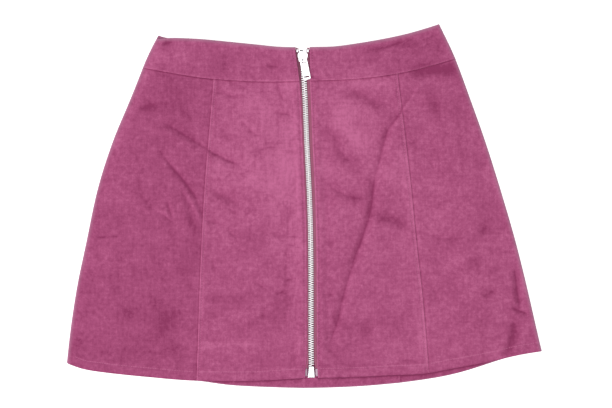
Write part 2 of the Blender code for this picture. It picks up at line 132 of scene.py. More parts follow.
# Light, table and camera, in metres
WORLD_LIGHT = 0.42
FLOOR_GLOW = 0.6
LIGHTS = {                 # place, watts and size
    "window": ((-3.6, -1.8, 2.6), 108.0, 2.0),
    "overhead": ((0, 0, 2.6), 27.0, 2.2),
}
TABLE_SIZE = 4.0
TABLE_DROP = 0.0002        # how far the table lies under the cloth
CAMERA_AT = (0.0021, 0.0028, 2.0)
VIEW_WIDTH = 0.7344        # of the table, from side to side of the view
SENSOR = 36.0              # millimetres

# Where the nap is light and where it is dark, as linear colours, which the painted shade and light use too
SUEDE_LIGHT = (0.565, 0.136, 0.296)
SUEDE_MIDDLE = (0.402, 0.069, 0.190)
SUEDE_DARK = (0.266, 0.025, 0.108)
# A greyer pink painted along folded sides and top edges as painted sheen
SUEDE_PAINTED_SHEEN = (0.440, 0.190, 0.300)
THREAD = (0.55, 0.150, 0.300)
TAPE_COLOUR = (0.330, 0.088, 0.160)
NICKEL_COLOUR = (0.86, 0.865, 0.88)
# The colour of the dark plate that paints the shadow at the foot of the pull's bail
SHADOW_PLATE_COLOUR = (0.05, 0.055, 0.05)
TEETH_COLOUR = (0.62, 0.585, 0.60)
FILM_COLOUR = (0.56, 0.36, 0.48)

# How much the darkness of the nap and of the painted shade, a fold's painted dark line and the painted
# sheen at the rim count in the cloth's colour, and how deep rows of stitches and folds are in its relief
DARK_SHARE = 0.42
FOLD_LINE_SHADE = 0.55
SHEEN_RIM_SHARE = 0.8
LINE_RELIEF = 0.6
NOISE_RANGE = (0.3, 0.75)  # between which soft noise mostly lies

# The nap's unevenness: size in metres, detail, roughness, stretch and twist of the noise, and how much it
# counts in the colour and in the relief
NAP_NOISES = (
    (0.046, 3.0, 0.55, (1, 1, 1), 0.4, 0.30, 0.0),      # clouds
    (0.015, 3.0, 0.6, (1, 1, 1), 0.0, 0.62, 0.0),       # patches
    (0.0048, 2.0, 0.6, (1, 1, 1), 0.0, 0.90, 0.9),      # mottle
    (0.0016, 2.0, 0.7, (1, 1, 1), 0.0, 0.48, 0.9),      # grain
    (0.0021, 1.0, 0.5, (1, 0.09, 1), 0.0, 0.25, 0.5),   # threads that run down
    (0.0021, 1.0, 0.5, (0.09, 1, 1), 0.0, 0.20, 0.4),   # threads that run across
    (0.00055, 1.0, 0.6, (1, 1, 1), 0.0, 0.20, 0.5),     # fibres
)

# The creases that each front piece shows. A row has its rise, which is below zero for a trough, its half
# width, its lean, which is 1 where its right side is steep and -1 where its left side is, the share of
# its run over which it fades at each end, and then the points x, y that it runs through.
CREASES = {
    "front_side_left": (
        (-0.75, 3.4, 0.2, 0.35, (-201, 116.5), (-191, 118), (-182, 121), (-172, 120.5)),
        (-0.45, 2.4, 0.2, 0.40, (-175, 134), (-170, 130), (-165, 125)),
        (-0.70, 3.1, 0.4, 0.40, (-186, 105.5), (-168, 99), (-150, 89.5), (-138, 82), (-126, 74),
         (-98, 58.5)),
        (0.45, 4.2, -0.3, 0.40, (-186, 97), (-168, 90), (-150, 80), (-136, 72), (-122, 65)),
        (-1.00, 2.6, 0.3, 0.45, (-180, 79), (-167, 57.5), (-157, 45), (-147, 34), (-138, 22),
         (-130, 9.5), (-119, -18)),
        (0.60, 2.4, -0.3, 0.35, (-146, 26), (-140, 16), (-134.5, 6), (-129, -4), (-125, -15),
         (-122, -26)),
        (-0.80, 4.6, 0.1, 0.40, (-149.5, 24), (-142.5, 11), (-137.5, -4), (-134.5, -16), (-128, -27),
         (-120, -38)),
        (-0.60, 2.0, 0.3, 0.35, (-166, 13), (-163, 0), (-159, -12), (-156, -19)),
        (0.40, 2.2, 0.0, 0.40, (-161, 10), (-157, -2), (-153, -14)),
        (-0.55, 2.0, 0.0, 0.35, (-181, -6), (-170, -11), (-160, -18), (-154, -24)),
        (0.40, 2.2, 0.0, 0.40, (-178, -2), (-168, -6), (-158, -13)),
        (-0.22, 2.4, 0.2, 0.45, (-199, 20), (-193, 9), (-186, 4), (-177, -1)),
        (0.40, 2.2, 0.0, 0.40, (-198, 2), (-188, -4), (-178, -9)),
        (-0.32, 2.2, 0.0, 0.40, (-202, 62), (-197, 50), (-191, 42)),
        (-0.24, 2.4, 0.0, 0.45, (-196, 44), (-197, 28), (-197, 14)),
        (-0.60, 2.6, 0.0, 0.30, (-251, -37), (-242, -36.5), (-232, -36)),
        (-0.50, 2.4, 0.0, 0.30, (-231, -36), (-226, -35.5), (-221, -36)),
        (0.25, 12.0, 0.0, 0.50, (-226, 60), (-236, 0), (-246, -60)),
        (-0.35, 9.0, 0.0, 0.50, (-172, -116), (-160, -138), (-152, -160)),
        (-0.25, 5.0, 0.0, 0.50, (-262, -60), (-252, -84), (-256, -108)),
        (0.25, 8.0, 0.0, 0.50, (-196, -70), (-184, -110), (-186, -150)),
    ),
    "front_centre_left": (
        (-1.05, 2.5, 0.4, 0.30, (-130, 76), (-120, 70), (-110, 64), (-100, 59), (-91, 54.5), (-80, 50),
         (-74, 47)),
        (0.45, 3.4, -0.3, 0.35, (-126, 64), (-112, 56), (-100, 50), (-88, 45), (-78, 41)),
        (-0.60, 3.4, 0.2, 0.35, (-116, 137), (-100, 135.5), (-88, 132), (-72, 129)),
        (-0.45, 2.8, 0.2, 0.40, (-98, 151), (-82, 146), (-66, 140), (-58, 137)),
        (-0.55, 2.6, 0.0, 0.40, (-34, 152), (-31, 141), (-27, 130), (-25, 124)),
        (-0.65, 2.2, 0.3, 0.30, (-39, 112), (-30, 111.5), (-20, 110), (-11, 105)),
        (-0.45, 2.4, 0.2, 0.35, (-76, 104), (-69, 95), (-62, 88), (-52, 85)),
        (-0.35, 2.0, 0.3, 0.35, (-50, 74), (-38, 77.5), (-26, 79), (-13, 80)),
        (-0.50, 2.0, 0.2, 0.35, (-62, 62), (-52, 68.5), (-38, 70.5), (-27, 67)),
        (-0.45, 2.4, 0.0, 0.35, (-80, 38), (-69, 41), (-62, 47), (-54, 53)),
        (-0.95, 4.6, 0.2, 0.35, (-114, 14), (-105, 15), (-96, 11), (-86, 6.5), (-76, 3)),
        (-0.40, 2.2, 0.0, 0.35, (-93, 0), (-86, -6), (-79, -12)),
        (-0.40, 2.2, 0.0, 0.35, (-77, -20), (-68, -9), (-58, -4), (-46, -4)),
        (-0.75, 2.2, 0.2, 0.30, (-119, -17), (-112, -19), (-101, -20.5)),
        (-0.45, 2.2, 0.2, 0.35, (-95, -26), (-87, -33), (-78, -41)),
        (-0.40, 2.2, 0.2, 0.35, (-84, -49), (-74, -53), (-64, -57)),
        (-0.60, 2.6, 0.2, 0.30, (-39, -34), (-30, -35.5), (-20, -34)),
        (-0.45, 1.8, 0.0, 0.30, (-19, -36), (-14, -36), (-9, -36.5)),
        (-0.45, 1.8, 0.0, 0.30, (-19, -46), (-14, -46), (-9, -47)),
        (-0.65, 2.0, 0.2, 0.30, (-24, -89), (-17, -87.5), (-8, -86)),
        (-0.45, 2.0, 0.0, 0.35, (-119, -88), (-113, -88.5), (-107, -86)),
        (-0.45, 2.6, 0.0, 0.35, (-111, -62), (-109, -72), (-110, -80)),
        (-0.65, 2.2, 0.2, 0.30, (-60, -90), (-52, -95.5), (-44, -100)),
        (-0.60, 2.4, 0.2, 0.35, (-38, -108), (-30, -104.5), (-20, -98)),
        (-0.30, 2.0, 0.0, 0.25, (-15, 18), (-19, -20), (-21.5, -60), (-22, -100), (-22, -165)),
        (-0.40, 3.4, 0.0, 0.40, (-50, -118), (-49, -130), (-52, -142)),
        (-0.35, 3.0, 0.0, 0.40, (-70, -140), (-74, -150), (-68, -158)),
        (0.30, 7.0, 0.0, 0.50, (-96, -30), (-88, -60), (-92, -96)),
    ),
    "front_centre_right": (
        (-0.95, 3.5, -0.1, 0.20, (137, 139), (130, 131), (123, 121.5), (114.5, 111), (106.5, 101),
         (100, 91), (96, 78), (93, 66), (92, 60)),
        (-0.60, 2.8, -0.1, 0.30, (96, 80), (93, 67), (90, 55), (87, 43), (85.5, 35)),
        (-1.15, 4.2, -0.1, 0.18, (87, 44), (85, 36), (82.7, 25), (81.2, 8), (78.2, -10), (72.6, -28),
         (66.6, -46), (59.4, -64), (55.5, -76)),
        (-0.80, 3.6, -0.1, 0.20, (64, -53), (56, -76), (51.5, -90), (45.3, -112), (42.5, -128),
         (39, -140), (29, -168)),
        (0.35, 2.8, 0.2, 0.30, (138, 140), (130, 127), (121, 114), (113, 103), (107, 90), (103, 76),
         (100.5, 60), (99, 44)),
        (0.20, 2.4, 0.2, 0.25, (82, -30), (69, -60), (62, -74), (54, -102), (50.5, -116), (47, -130),
         (38.5, -152)),
        (-0.85, 6.0, 0.2, 0.28, (44, 144), (68, 132), (80, 126), (92, 121), (110, 116)),
        (-0.62, 7.0, 0.1, 0.35, (20, 98), (31, 88), (41, 71), (52, 56), (68, 42)),
        (-0.60, 3.6, 0.2, 0.35, (24, 32), (36, 20), (50, 12.5), (64, 9.5), (80, 8)),
        (-0.70, 5.8, 0.1, 0.40, (76, -4), (90, -9), (104, -15), (117, -23), (130, -30)),
        (-0.50, 4.0, 0.0, 0.45, (24, -42), (32, -43), (40, -45)),
        (-0.40, 2.2, 0.2, 0.40, (23, -86), (33, -87), (42, -93)),
        (-0.60, 2.2, 0.2, 0.35, (19, -105), (29, -106), (38, -104)),
        (-0.45, 2.0, 0.2, 0.35, (26, -168), (31, -173), (40, -177)),
        (-0.30, 2.4, 0.0, 0.40, (17, -66), (24, -65), (31, -67)),
        (-0.45, 2.4, 0.0, 0.40, (112, -184), (125, -184.5), (138, -182)),
        (0.30, 8.0, 0.0, 0.50, (48, 28), (40, 2), (44, -26)),
        (-0.25, 7.0, 0.0, 0.50, (76, -134), (78, -148), (68, -162)),
    ),
    "front_side_right": (
        (-1.10, 6.0, 0.2, 0.30, (122, 160), (140, 161), (156, 163), (172, 165), (186, 168)),
        (-0.78, 3.2, -0.3, 0.32, (104, 101), (112, 111), (120, 121), (128, 133), (137, 147)),
        (0.80, 3.0, 0.3, 0.30, (109, 103), (117, 113), (125, 124), (133, 136), (142, 148), (149, 155)),
        (-0.50, 7.0, 0.0, 0.45, (146, 131), (156, 122), (161, 106)),
        (-0.40, 2.4, 0.2, 0.35, (121, 80), (130, 76), (138, 78)),
        (-0.35, 2.4, 0.0, 0.40, (146, 56), (153, 50), (156, 42)),
        (0.40, 2.6, 0.0, 0.40, (150, -8), (166, -2), (186, 4)),
        (-0.35, 2.4, 0.0, 0.40, (150, -1), (164, 4), (182, 9)),
        (-0.45, 3.4, 0.0, 0.35, (136, -30), (150, -35), (172, -39), (190, -37), (206, -31)),
        (-0.40, 5.0, 0.0, 0.45, (176, -34), (178, -44), (180, -52)),
        (-0.55, 6.0, 0.0, 0.45, (226, -18), (217, -27), (204, -32)),
        (-0.75, 2.8, 0.2, 0.30, (213, -109), (221, -104.5), (231, -98)),
        (-1.30, 3.9, 0.2, 0.25, (251, -72), (253.5, -88), (255, -102), (257, -115), (256, -126)),
        (-1.15, 2.4, 0.2, 0.25, (247, -120), (256, -125), (262, -127), (270, -131)),
        (-1.25, 5.2, 0.1, 0.30, (251, -131), (252.5, -148), (249.5, -160), (245, -170), (239, -186)),
        (-0.45, 5.0, 0.0, 0.40, (258, -166), (268, -169), (276, -170)),
        (-0.45, 3.0, 0.0, 0.35, (154, -96), (157, -106), (158, -118)),
        (-0.30, 5.0, 0.0, 0.45, (184, -128), (192, -137), (200, -140)),
        (0.60, 4.2, -0.2, 0.35, (262, -72), (266, -92), (268, -112)),
        (0.30, 10.0, 0.0, 0.50, (176, -30), (192, -70), (200, -112)),
    ),
    "waistband_front_left": (
        (-0.90, 3.4, 0.0, 0.30, (-171, 194.5), (-163, 196), (-155, 197)),
        (-0.50, 2.4, 0.0, 0.35, (-46, 167), (-38, 168), (-30, 167)),
        (-0.35, 5.0, 0.0, 0.45, (-100, 188), (-96, 172), (-98, 158)),
        (0.30, 8.0, 0.0, 0.50, (-150, 190), (-146, 176), (-150, 164)),
        (-0.30, 4.0, 0.0, 0.45, (-40, 190), (-36, 178), (-40, 158)),
    ),
    "waistband_front_right": (
        (-0.90, 2.8, 0.2, 0.30, (66, 187.5), (80, 188), (94, 189.5), (106, 193), (116, 196.5),
         (134, 197)),
        (-0.55, 2.2, 0.2, 0.35, (106, 192), (114, 187), (124, 183), (132, 181)),
        (-0.45, 2.0, 0.0, 0.35, (138, 203), (145, 197), (151, 190), (150, 184)),
        (-0.40, 2.0, 0.0, 0.35, (146, 200), (153, 204), (160, 206)),
        (-0.50, 2.2, 0.0, 0.35, (120, 176), (126, 171), (130, 167)),
        (-0.30, 2.4, 0.0, 0.40, (24, 176), (34, 184), (40, 188)),
        (-0.50, 2.2, 0.0, 0.35, (6, 160), (14, 153), (25, 150)),
        (0.25, 8.0, 0.0, 0.50, (70, 182), (74, 170), (70, 158)),
    ),
}

# Creases of the back, whose outside lies on the table: they only lift off it, so each is a ridge.
BACK_CREASES = (
    (0.75, 5.0, 0.3, 0.4, (-186, 96), (-158, 82), (-130, 72), (-100, 64)),
    (0.65, 4.0, 0.2, 0.4, (150, 84), (126, 52), (112, 20), (104, -20)),
    (0.85, 4.5, -0.3, 0.35, (-52, 132), (-44, 88), (-48, 40), (-38, -12), (-42, -60)),
    (0.60, 5.0, 0.2, 0.45, (30, 126), (48, 96), (56, 58), (48, 20)),
    (0.70, 4.0, 0.0, 0.4, (-206, 6), (-182, -10), (-160, -34)),
    (0.55, 3.6, 0.0, 0.4, (182, -18), (202, -42), (210, -74)),
    (0.60, 6.0, 0.2, 0.45, (20, -60), (34, -104), (28, -150)),
    (0.50, 5.0, 0.0, 0.45, (-108, -70), (-94, -110), (-98, -148)),
    (0.55, 5.0, -0.2, 0.45, (-226, -80), (-214, -118), (-222, -150)),
    (0.50, 5.5, 0.0, 0.45, (142, -92), (158, -128), (150, -160)),
    (0.45, 3.4, 0.0, 0.4, (-14, 96), (6, 92), (22, 98)),
    (0.45, 3.4, 0.0, 0.4, (-12, -26), (4, -30), (18, -26)),
)

# Where the cloth is painted darker, or lighter below zero, partly as the nap's own lie and partly as
# painted shade and light of hollows, folds and gaps: x, y, half length, half width, turn in degrees, depth
FRONT_NAP_AND_SHADE_PATCHES = (
    # Side front, left
    (-220, -120, 90, 60, 80, 0.14), (-185, 118, 14, 7, 4, 0.45), (-152, 116, 32, 20, -20, 0.22),
    (-142, 115, 6, 7, 0, 0.45), (-139, 104, 10, 5, 85, 0.25), (-150, 140, 14, 7, 0, 0.30),
    (-164, 156, 20, 4, -16, 0.25), (-130, 76, 12, 6, -35, 0.25), (-149, 87, 4, 2.5, -30, 0.35),
    (-193, 44, 4, 4, 0, 0.35), (-196, 28, 4, 6, 0, 0.25), (-197, 14, 4, 5, 0, 0.20),
    (-134, -22, 10, 9, -40, 0.45), (-138, -60, 40, 10, 88, 0.15), (-151, -77, 8, 6, 0, 0.35),
    (-203, -78, 6, 4, 0, 0.35), (-214, -126, 13, 7, -10, 0.32), (-180, -114, 9, 6, -40, 0.40),
    (-164, -136, 15, 12, 70, 0.80), (-172, -150, 10, 5, 60, 0.25), (-166, -172, 10, 5, 60, 0.45),
    (-156, -172, 10, 4, 80, 0.35), (-270, -168, 9, 5, 90, 0.40), (-238, -173, 18, 7, 0, 0.30),
    (-200, -178, 40, 8, -4, 0.25), (-196, -130, 30, 10, 0, 0.18), (-236, -130, 10, 12, 0, -0.35),
    (-236, -107, 10, 8, 0, -0.30), (-214, -146, 10, 6, 0, -0.30), (-224, -172, 8, 8, 0, -0.30),
    (-242, -58, 22, 8, 85, -0.25), (-190, -91, 10, 5, 0, -0.16), (-156, -156, 6, 4, 60, -0.10),
    (-228, 20, 40, 14, 75, -0.12), (-213, 98, 62, 6, 65, -0.50), (-258, -60, 70, 5, 78, -0.22),
    (-188, 160, 18, 5, 65, -0.70), (-221, 92, 18, 4, 65, -0.32), (-243, -160, 9, 7, 0, 0.34),
    (-147, -169, 12, 6, 0, 0.28), (-188, -103, 9, 6, 0, 0.26), (-173, -118, 10, 7, -45, 0.28),
    (-250, -168, 8, 6, 0, 0.20),
    # Centre front, left
    (-52, 112, 62, 40, 84, -0.36), (-50, 10, 60, 40, 90, -0.20), (10, -150, 90, 40, 0, 0.12),
    (-30, 42, 30, 14, 85, -0.50), (-104, 46, 14, 10, 90, -0.58), (-66, 30, 26, 9, -10, -0.35),
    (-56, 46, 16, 10, 30, -0.16), (-62, 118, 20, 12, 0, -0.18), (-19, 140, 12, 7, 80, -0.40),
    (-98, 10, 18, 7, -25, 0.32), (-60, -36, 16, 7, 5, 0.38), (-36, -20, 16, 8, 88, -0.30),
    (-12, -40, 90, 7, 90, -0.42), (-20, 60, 44, 9, 88, -0.45), (-28, -52, 14, 8, 90, -0.30),
    (-66, -110, 46, 16, 0, 0.20), (-110, -111, 8, 8, 0, 0.42), (-108, -128, 9, 6, 0, 0.50),
    (-88, -113, 14, 6, 10, 0.32), (-64, -142, 11, 6, 0, 0.45), (-48, -130, 12, 6, 85, 0.32),
    (-38, -134, 5, 5, 0, 0.30), (-28, -118, 12, 12, 0, 0.20), (-80, -131, 9, 8, 0, -0.25),
    (-41, -90, 5, 5, 0, -0.45), (-84, -166, 46, 4, 0, -0.50), (-116, -166, 10, 5, 0, -0.35),
    (-60, -186, 44, 6, -3, 0.25), (-6, -2, 150, 3.5, 92.5, -0.45), (-33, 82, 12, 7, 0, -0.28),
    (-69, 11, 18, 9, 0, 0.14), (-80, 153, 8, 4, 0, 0.30), (-118, 110, 7, 6, 0, -0.28),
    (-20, -38, 6, 8, 0, -0.26), (-95, 28, 7, 6, 0, -0.24), (-116, -193, 8, 5, 0, 0.28),
    (-58, -128, 8, 6, 0, 0.24),
    # Centre front, right
    (48, 112, 62, 40, 96, -0.40), (56, 0, 60, 40, 90, -0.10), (62, 80, 30, 9, -52, -0.62),
    (76, 128, 28, 7, -22, 0.32), (64, 11, 17, 5, -10, 0.40), (101, -14, 24, 7, -25, 0.40),
    (110, 42, 28, 8, -76, -0.40), (50, 112, 22, 12, -20, -0.22), (80, 148, 20, 7, 5, -0.38),
    (33, 85, 13, 8, -50, 0.38), (50, 55, 14, 8, -40, 0.30), (36, 40, 20, 9, -20, -0.30),
    (79, 0, 18, 6, 82, 0.30), (58, 9, 14, 5, 0, 0.28), (98, -14, 10, 5, 0, 0.40),
    (118, -23, 8, 5, -30, 0.35), (122, 30, 40, 6, -80, -0.48), (100, 36, 16, 6, -50, -0.30),
    (136, -80, 40, 5, -85, -0.25), (141, -150, 44, 6, -85, -0.48), (32, -43, 8, 5, 0, 0.25),
    (72, -148, 14, 8, 60, 0.40), (50, -141, 8, 5, 0, 0.35), (98, -132, 8, 8, 0, 0.35),
    (120, -134, 12, 9, 0, 0.28), (86, -166, 14, 6, 0, -0.25), (116, -90, 7, 7, 0, -0.24),
    (108, -1, 7, 6, 0, -0.24), (103, 28, 6, 6, 0, -0.24), (44, -192, 34, 5, 0, 0.40),
    (128, -186, 14, 4, 0, 0.30), (104, -106, 5, 4, 0, 0.30), (70, -95, 24, 10, 60, -0.15),
    (14, -20, 110, 4, 90, -0.32), (80, 48, 6, 6, 0, -0.60), (112, -207, 8, 4, 0, -0.30),
    (108, 65, 7, 7, 0, 0.28),
    # Side front, right
    (155, 164, 20, 7.5, 6, 1.0), (174, 163, 9, 9, 0, 0.95), (186, 154, 8, 6, -60, 0.30),
    (156, 120, 14, 10, -70, 0.50), (180, 126, 6, 6, 0, 0.40), (180, 84, 40, 16, 75, 0.14),
    (212, -30, 10, 6, 30, 0.48), (205, -66, 10, 10, 70, 0.65), (228, -76, 7, 4, -10, 0.42),
    (226, -55, 4, 4, 0, 0.30), (253, -112, 14, 5, 84, 0.50), (250, -154, 22, 7, 78, 0.60),
    (226, 0, 18, 8, 80, 0.30), (182, -180, 8, 3, 0, 0.35), (172, -90, 7, 8, 0, 0.28),
    (152, -10, 12, 10, 0, -0.25), (168, -22, 8, 5, 0, -0.35), (210, -90, 8, 8, 0, -0.25),
    (230, -148, 10, 12, 0, -0.20), (266, -95, 30, 4, -78, -0.25), (229, 32, 22, 5, -72, -0.60),
    (212, -188, 8, 5, 0, -0.28), (254, -176, 8, 6, 0, 0.22), (277, -170, 5, 9, 0, -0.35),
    (202, 105, 8, 10, 0, -0.20), (237, 4, 14, 4, -72, -0.30), (171, 154, 7, 6, 0, 0.34),
    # Waistband
    (-163, 195.5, 6, 4, 5, 0.65), (-152, 182, 28, 14, 0, -0.38), (-176, 186, 16, 5, 62, -0.35),
    (-108, 174, 22, 18, 0, 0.20), (-110, 158, 8, 4, 0, 0.45), (-97, 164, 5, 6, 0, 0.42),
    (-38, 167, 8, 3.5, 0, 0.45), (-66, 178, 26, 14, 0, 0.12), (120, 196, 14, 3.5, 4, 0.50),
    (88, 189, 16, 3, 2, 0.25), (140, 186, 16, 12, 0, 0.30), (138, 168, 14, 4, 8, 0.60),
    (162, 190, 14, 12, 0, 0.42), (30, 165, 20, 10, 0, -0.15), (-171, 197, 6, 4, 0, -0.28),
    (-74, 191, 14, 4, -5, -0.55), (-45, 190, 9, 4, 0, -0.32), (48, 178, 10, 5, 0, -0.32),
    (12, 188, 5, 8, 0, -0.60), (127, 193, 9, 4, 8, 0.60), (173, 189, 6, 8, 0, -0.72),
)

BACK_NAP_AND_SHADE_PATCHES = (
    # Painted shade in the gap under the front's hem, and painted shade and light on the strip that shows
    # below it
    (126, -201, 11, 2.6, 14, 0.75), (112, -208, 9, 3, 8, -0.40), (2, -214, 10, 2.5, 0, -0.35),
    (60, -204, 30, 2.5, 3, 0.30), (-30, -207, 24, 3, -1, -0.15), (150, -196, 14, 3, 16, 0.35),
    (6, -206, 12, 3, 0, 0.25),
    # The back itself
    (-60, 90, 50, 34, 80, -0.25), (70, 60, 54, 30, 100, -0.20), (-170, -60, 60, 26, 76, 0.22),
    (150, -90, 50, 24, 106, 0.25), (-20, -90, 40, 18, 10, 0.20), (-210, -130, 20, 12, -30, 0.40),
    (214, -60, 22, 10, 70, 0.35), (-120, 20, 18, 10, -40, 0.35), (40, 0, 16, 9, 60, 0.35),
    (96, -150, 26, 9, 12, 0.30), (-90, -150, 24, 10, -8, -0.25), (120, 178, 22, 8, 12, 0.40),
    (-110, 180, 26, 9, -6, 0.30), (10, 176, 24, 8, 0, -0.20),
)

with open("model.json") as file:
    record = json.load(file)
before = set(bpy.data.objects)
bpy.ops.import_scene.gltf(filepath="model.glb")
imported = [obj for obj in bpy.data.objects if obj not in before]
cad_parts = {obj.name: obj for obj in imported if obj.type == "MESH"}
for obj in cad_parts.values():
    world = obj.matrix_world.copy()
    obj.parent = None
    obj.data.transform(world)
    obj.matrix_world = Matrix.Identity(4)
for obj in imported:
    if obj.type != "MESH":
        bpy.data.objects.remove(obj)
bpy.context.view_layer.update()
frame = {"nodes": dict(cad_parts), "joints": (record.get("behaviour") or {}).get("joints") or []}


# ---------------------------------------------------------------- shader maths


class Value:
    """A number that changes over a surface, as the socket that gives it."""

    def __init__(self, finish, socket):
        self.finish = finish
        self.socket = socket

    def maths(self, operation, first, second):
        """A Math node's result on two values or numbers."""
        return self.finish.node("ShaderNodeMath", {"operation": operation}, {0: first, 1: second})

    def __add__(self, other):
        return self.maths("ADD", self, other)

    def __radd__(self, other):
        return self.maths("ADD", other, self)

    def __sub__(self, other):
        return self.maths("SUBTRACT", self, other)

    def __rsub__(self, other):
        return self.maths("SUBTRACT", other, self)

    def __mul__(self, other):
        return self.maths("MULTIPLY", self, other)

    def __rmul__(self, other):
        return self.maths("MULTIPLY", other, self)


class Finish:
    """A material as its nodes are added."""

    def __init__(self, name):
        self.material = bpy.data.materials.new(name)
        self.material.use_nodes = True
        self.tree = self.material.node_tree
        self.shader = self.tree.nodes["Principled BSDF"]

    def node(self, kind, settings=None, inputs=None, output=0):
        """Adds a node, sets its settings and then its inputs, and gives one of its outputs."""
        made = self.tree.nodes.new(kind)
        for key, value in (settings or {}).items():
            if key == "stops":
                self.set_stops(made.color_ramp, value)
            else:
                setattr(made, key, value)
        for key, value in (inputs or {}).items():
            self.feed(self.input_of(made, key), value)
        return Value(self, made.outputs[output])

    @staticmethod
    def input_of(made, key):
        """The input with that number, or the one with that name that the node's settings leave in use."""
        if isinstance(key, int):
            return made.inputs[key]
        return next(socket for socket in made.inputs if socket.name == key and socket.enabled)

    @staticmethod
    def set_stops(ramp, stops):
        """Gives a colour ramp its stops, each a place from 0 to 1 and a colour."""
        while len(ramp.elements) < len(stops):
            ramp.elements.new(0.5)
        for element, (place, colour) in zip(ramp.elements, stops):
            element.position = place
            element.color = (*colour, 1.0)

    def feed(self, socket, value):
        """Links a value to the socket, or sets the socket to a number, a colour or a vector."""
        if isinstance(value, Value):
            self.tree.links.new(value.socket, socket)
        elif socket.type == "RGBA":
            socket.default_value = (*value, 1.0)
        else:
            socket.default_value = value

    def set(self, **values):
        """Sets or links the main shader's sockets, named in lower case with underscores."""
        for name, value in values.items():
            self.feed(self.shader.inputs[name.replace("_", " ").title()], value)

    def place(self, scale=(1, 1, 1)):
        """The point of the surface in metres, stretched by scale."""
        at = self.node("ShaderNodeTexCoord", output="Object")
        return self.node("ShaderNodeMapping", {}, {"Vector": at, "Scale": scale})

    def noise(self, size, detail=2.0, roughness=0.5, stretch=(1, 1, 1), twist=0.0):
        """Soft noise from 0 to 1 with features of that size in metres."""
        inputs = {
            "Vector": self.place(stretch), "Scale": 1 / size, "Detail": detail,
            "Roughness": roughness, "Distortion": twist,
        }
        return self.node("ShaderNodeTexNoise", {}, inputs)

    def attribute(self, name):
        """The number that the mesh carries under this name at each of its points."""
        return self.node("ShaderNodeAttribute", {"attribute_name": name}, output="Fac")

    def faded(self, name, reach):
        """1 where the distance under this name is next to nothing, and 0 from reach on, in millimetres."""
        return self.spread(self.attribute(name), FULL_SHARE * reach, reach, 1.0, 0.0)

    def spread(self, value, low, high, to_low, to_high):
        """The value, read from low to high as from to_low to to_high and held there outside."""
        inputs = {"Value": value, "From Min": low, "From Max": high, "To Min": to_low, "To Max": to_high}
        return self.node("ShaderNodeMapRange", {"clamp": True}, inputs)

    def colour_mix(self, share, first, second):
        """The first colour where the share is 0, the second where it is 1."""
        inputs = {"Factor": share, "A": first, "B": second}
        return self.node("ShaderNodeMix", {"data_type": "RGBA"}, inputs, output="Result")

    def tones(self, share, colour, darkest, lightest=1.0):
        """The colour, darkest times itself where the share is 0 and lightest times itself where it is 1."""
        ends = (tuple(level * part for part in colour) for level in (darkest, lightest))
        return self.colour_mix(share, *ends)

    def bump(self, height, depth, strength):
        """The surface's direction, roughened by a height of which 1 stands for that depth in metres."""
        return self.node("ShaderNodeBump", {}, {"Height": height, "Distance": depth, "Strength": strength})


# ---------------------------------------------------------------- finishes


def suede():
    """Short-napped cloth: cloudy where the nap lies either way, with a fine grain and faint threads, and
    with painted shade, light and sheen along its creases, seams, hollows and edges.
    """
    finish = Finish("suede")
    # Painted shade and light along sewn edges, and painted shade under the front's hem
    seam = finish.faded("seam_distance", SEAM_SHADING_REACH) * finish.attribute("seam_tint")
    row = finish.faded("row_distance", ROW_TINT_REACH)
    # Painted shade: a dark line along the bottom of each sharp trough, which also sinks in the relief
    fold = finish.faded("fold_distance", FOLD_LINE_REACH) * finish.attribute("fold_depth") * FOLD_LINE_SHADE
    # The nap layer holds the nap's lie and the painted shade and highlight of creases and hollows
    dark = finish.attribute("nap") + seam + fold + row * finish.attribute("row_tint")
    shade = 0.5 - dark * DARK_SHARE
    relief = (row + fold) * -LINE_RELIEF
    for size, detail, roughness, stretch, twist, in_colour, in_relief in NAP_NOISES:
        uneven = finish.noise(size, detail, roughness, stretch, twist) - 0.5
        shade = shade + uneven * in_colour
        if in_relief:
            relief = relief + uneven * in_relief
    stops = ((0.0, SUEDE_DARK), (0.5, SUEDE_MIDDLE), (1.0, SUEDE_LIGHT))
    colour = finish.node("ShaderNodeValToRGB", {"stops": stops}, {"Fac": shade})
    # Painted sheen along folded sides and top edges
    rim = finish.faded("rim_distance", SHEEN_RIM_REACH)
    colour = finish.colour_mix(rim * rim * SHEEN_RIM_SHARE, colour, SUEDE_PAINTED_SHEEN)
    finish.set(base_color=colour, roughness=0.88, sheen_weight=0.18, sheen_roughness=0.45)
    finish.set(sheen_tint=(0.95, 0.62, 0.80), normal=finish.bump(relief, depth=0.00032, strength=0.7))
    return finish.material


def thread():
    """Twisted sewing thread, dyed to match the cloth and a little lighter."""
    finish = Finish("thread")
    twist = finish.noise(0.0007, detail=1.0)
    finish.set(base_color=finish.tones(twist, THREAD, darkest=0.8, lightest=1.12))
    finish.set(roughness=0.6, sheen_weight=0.1)
    finish.set(normal=finish.bump(twist, depth=0.0001, strength=0.6))
    return finish.material


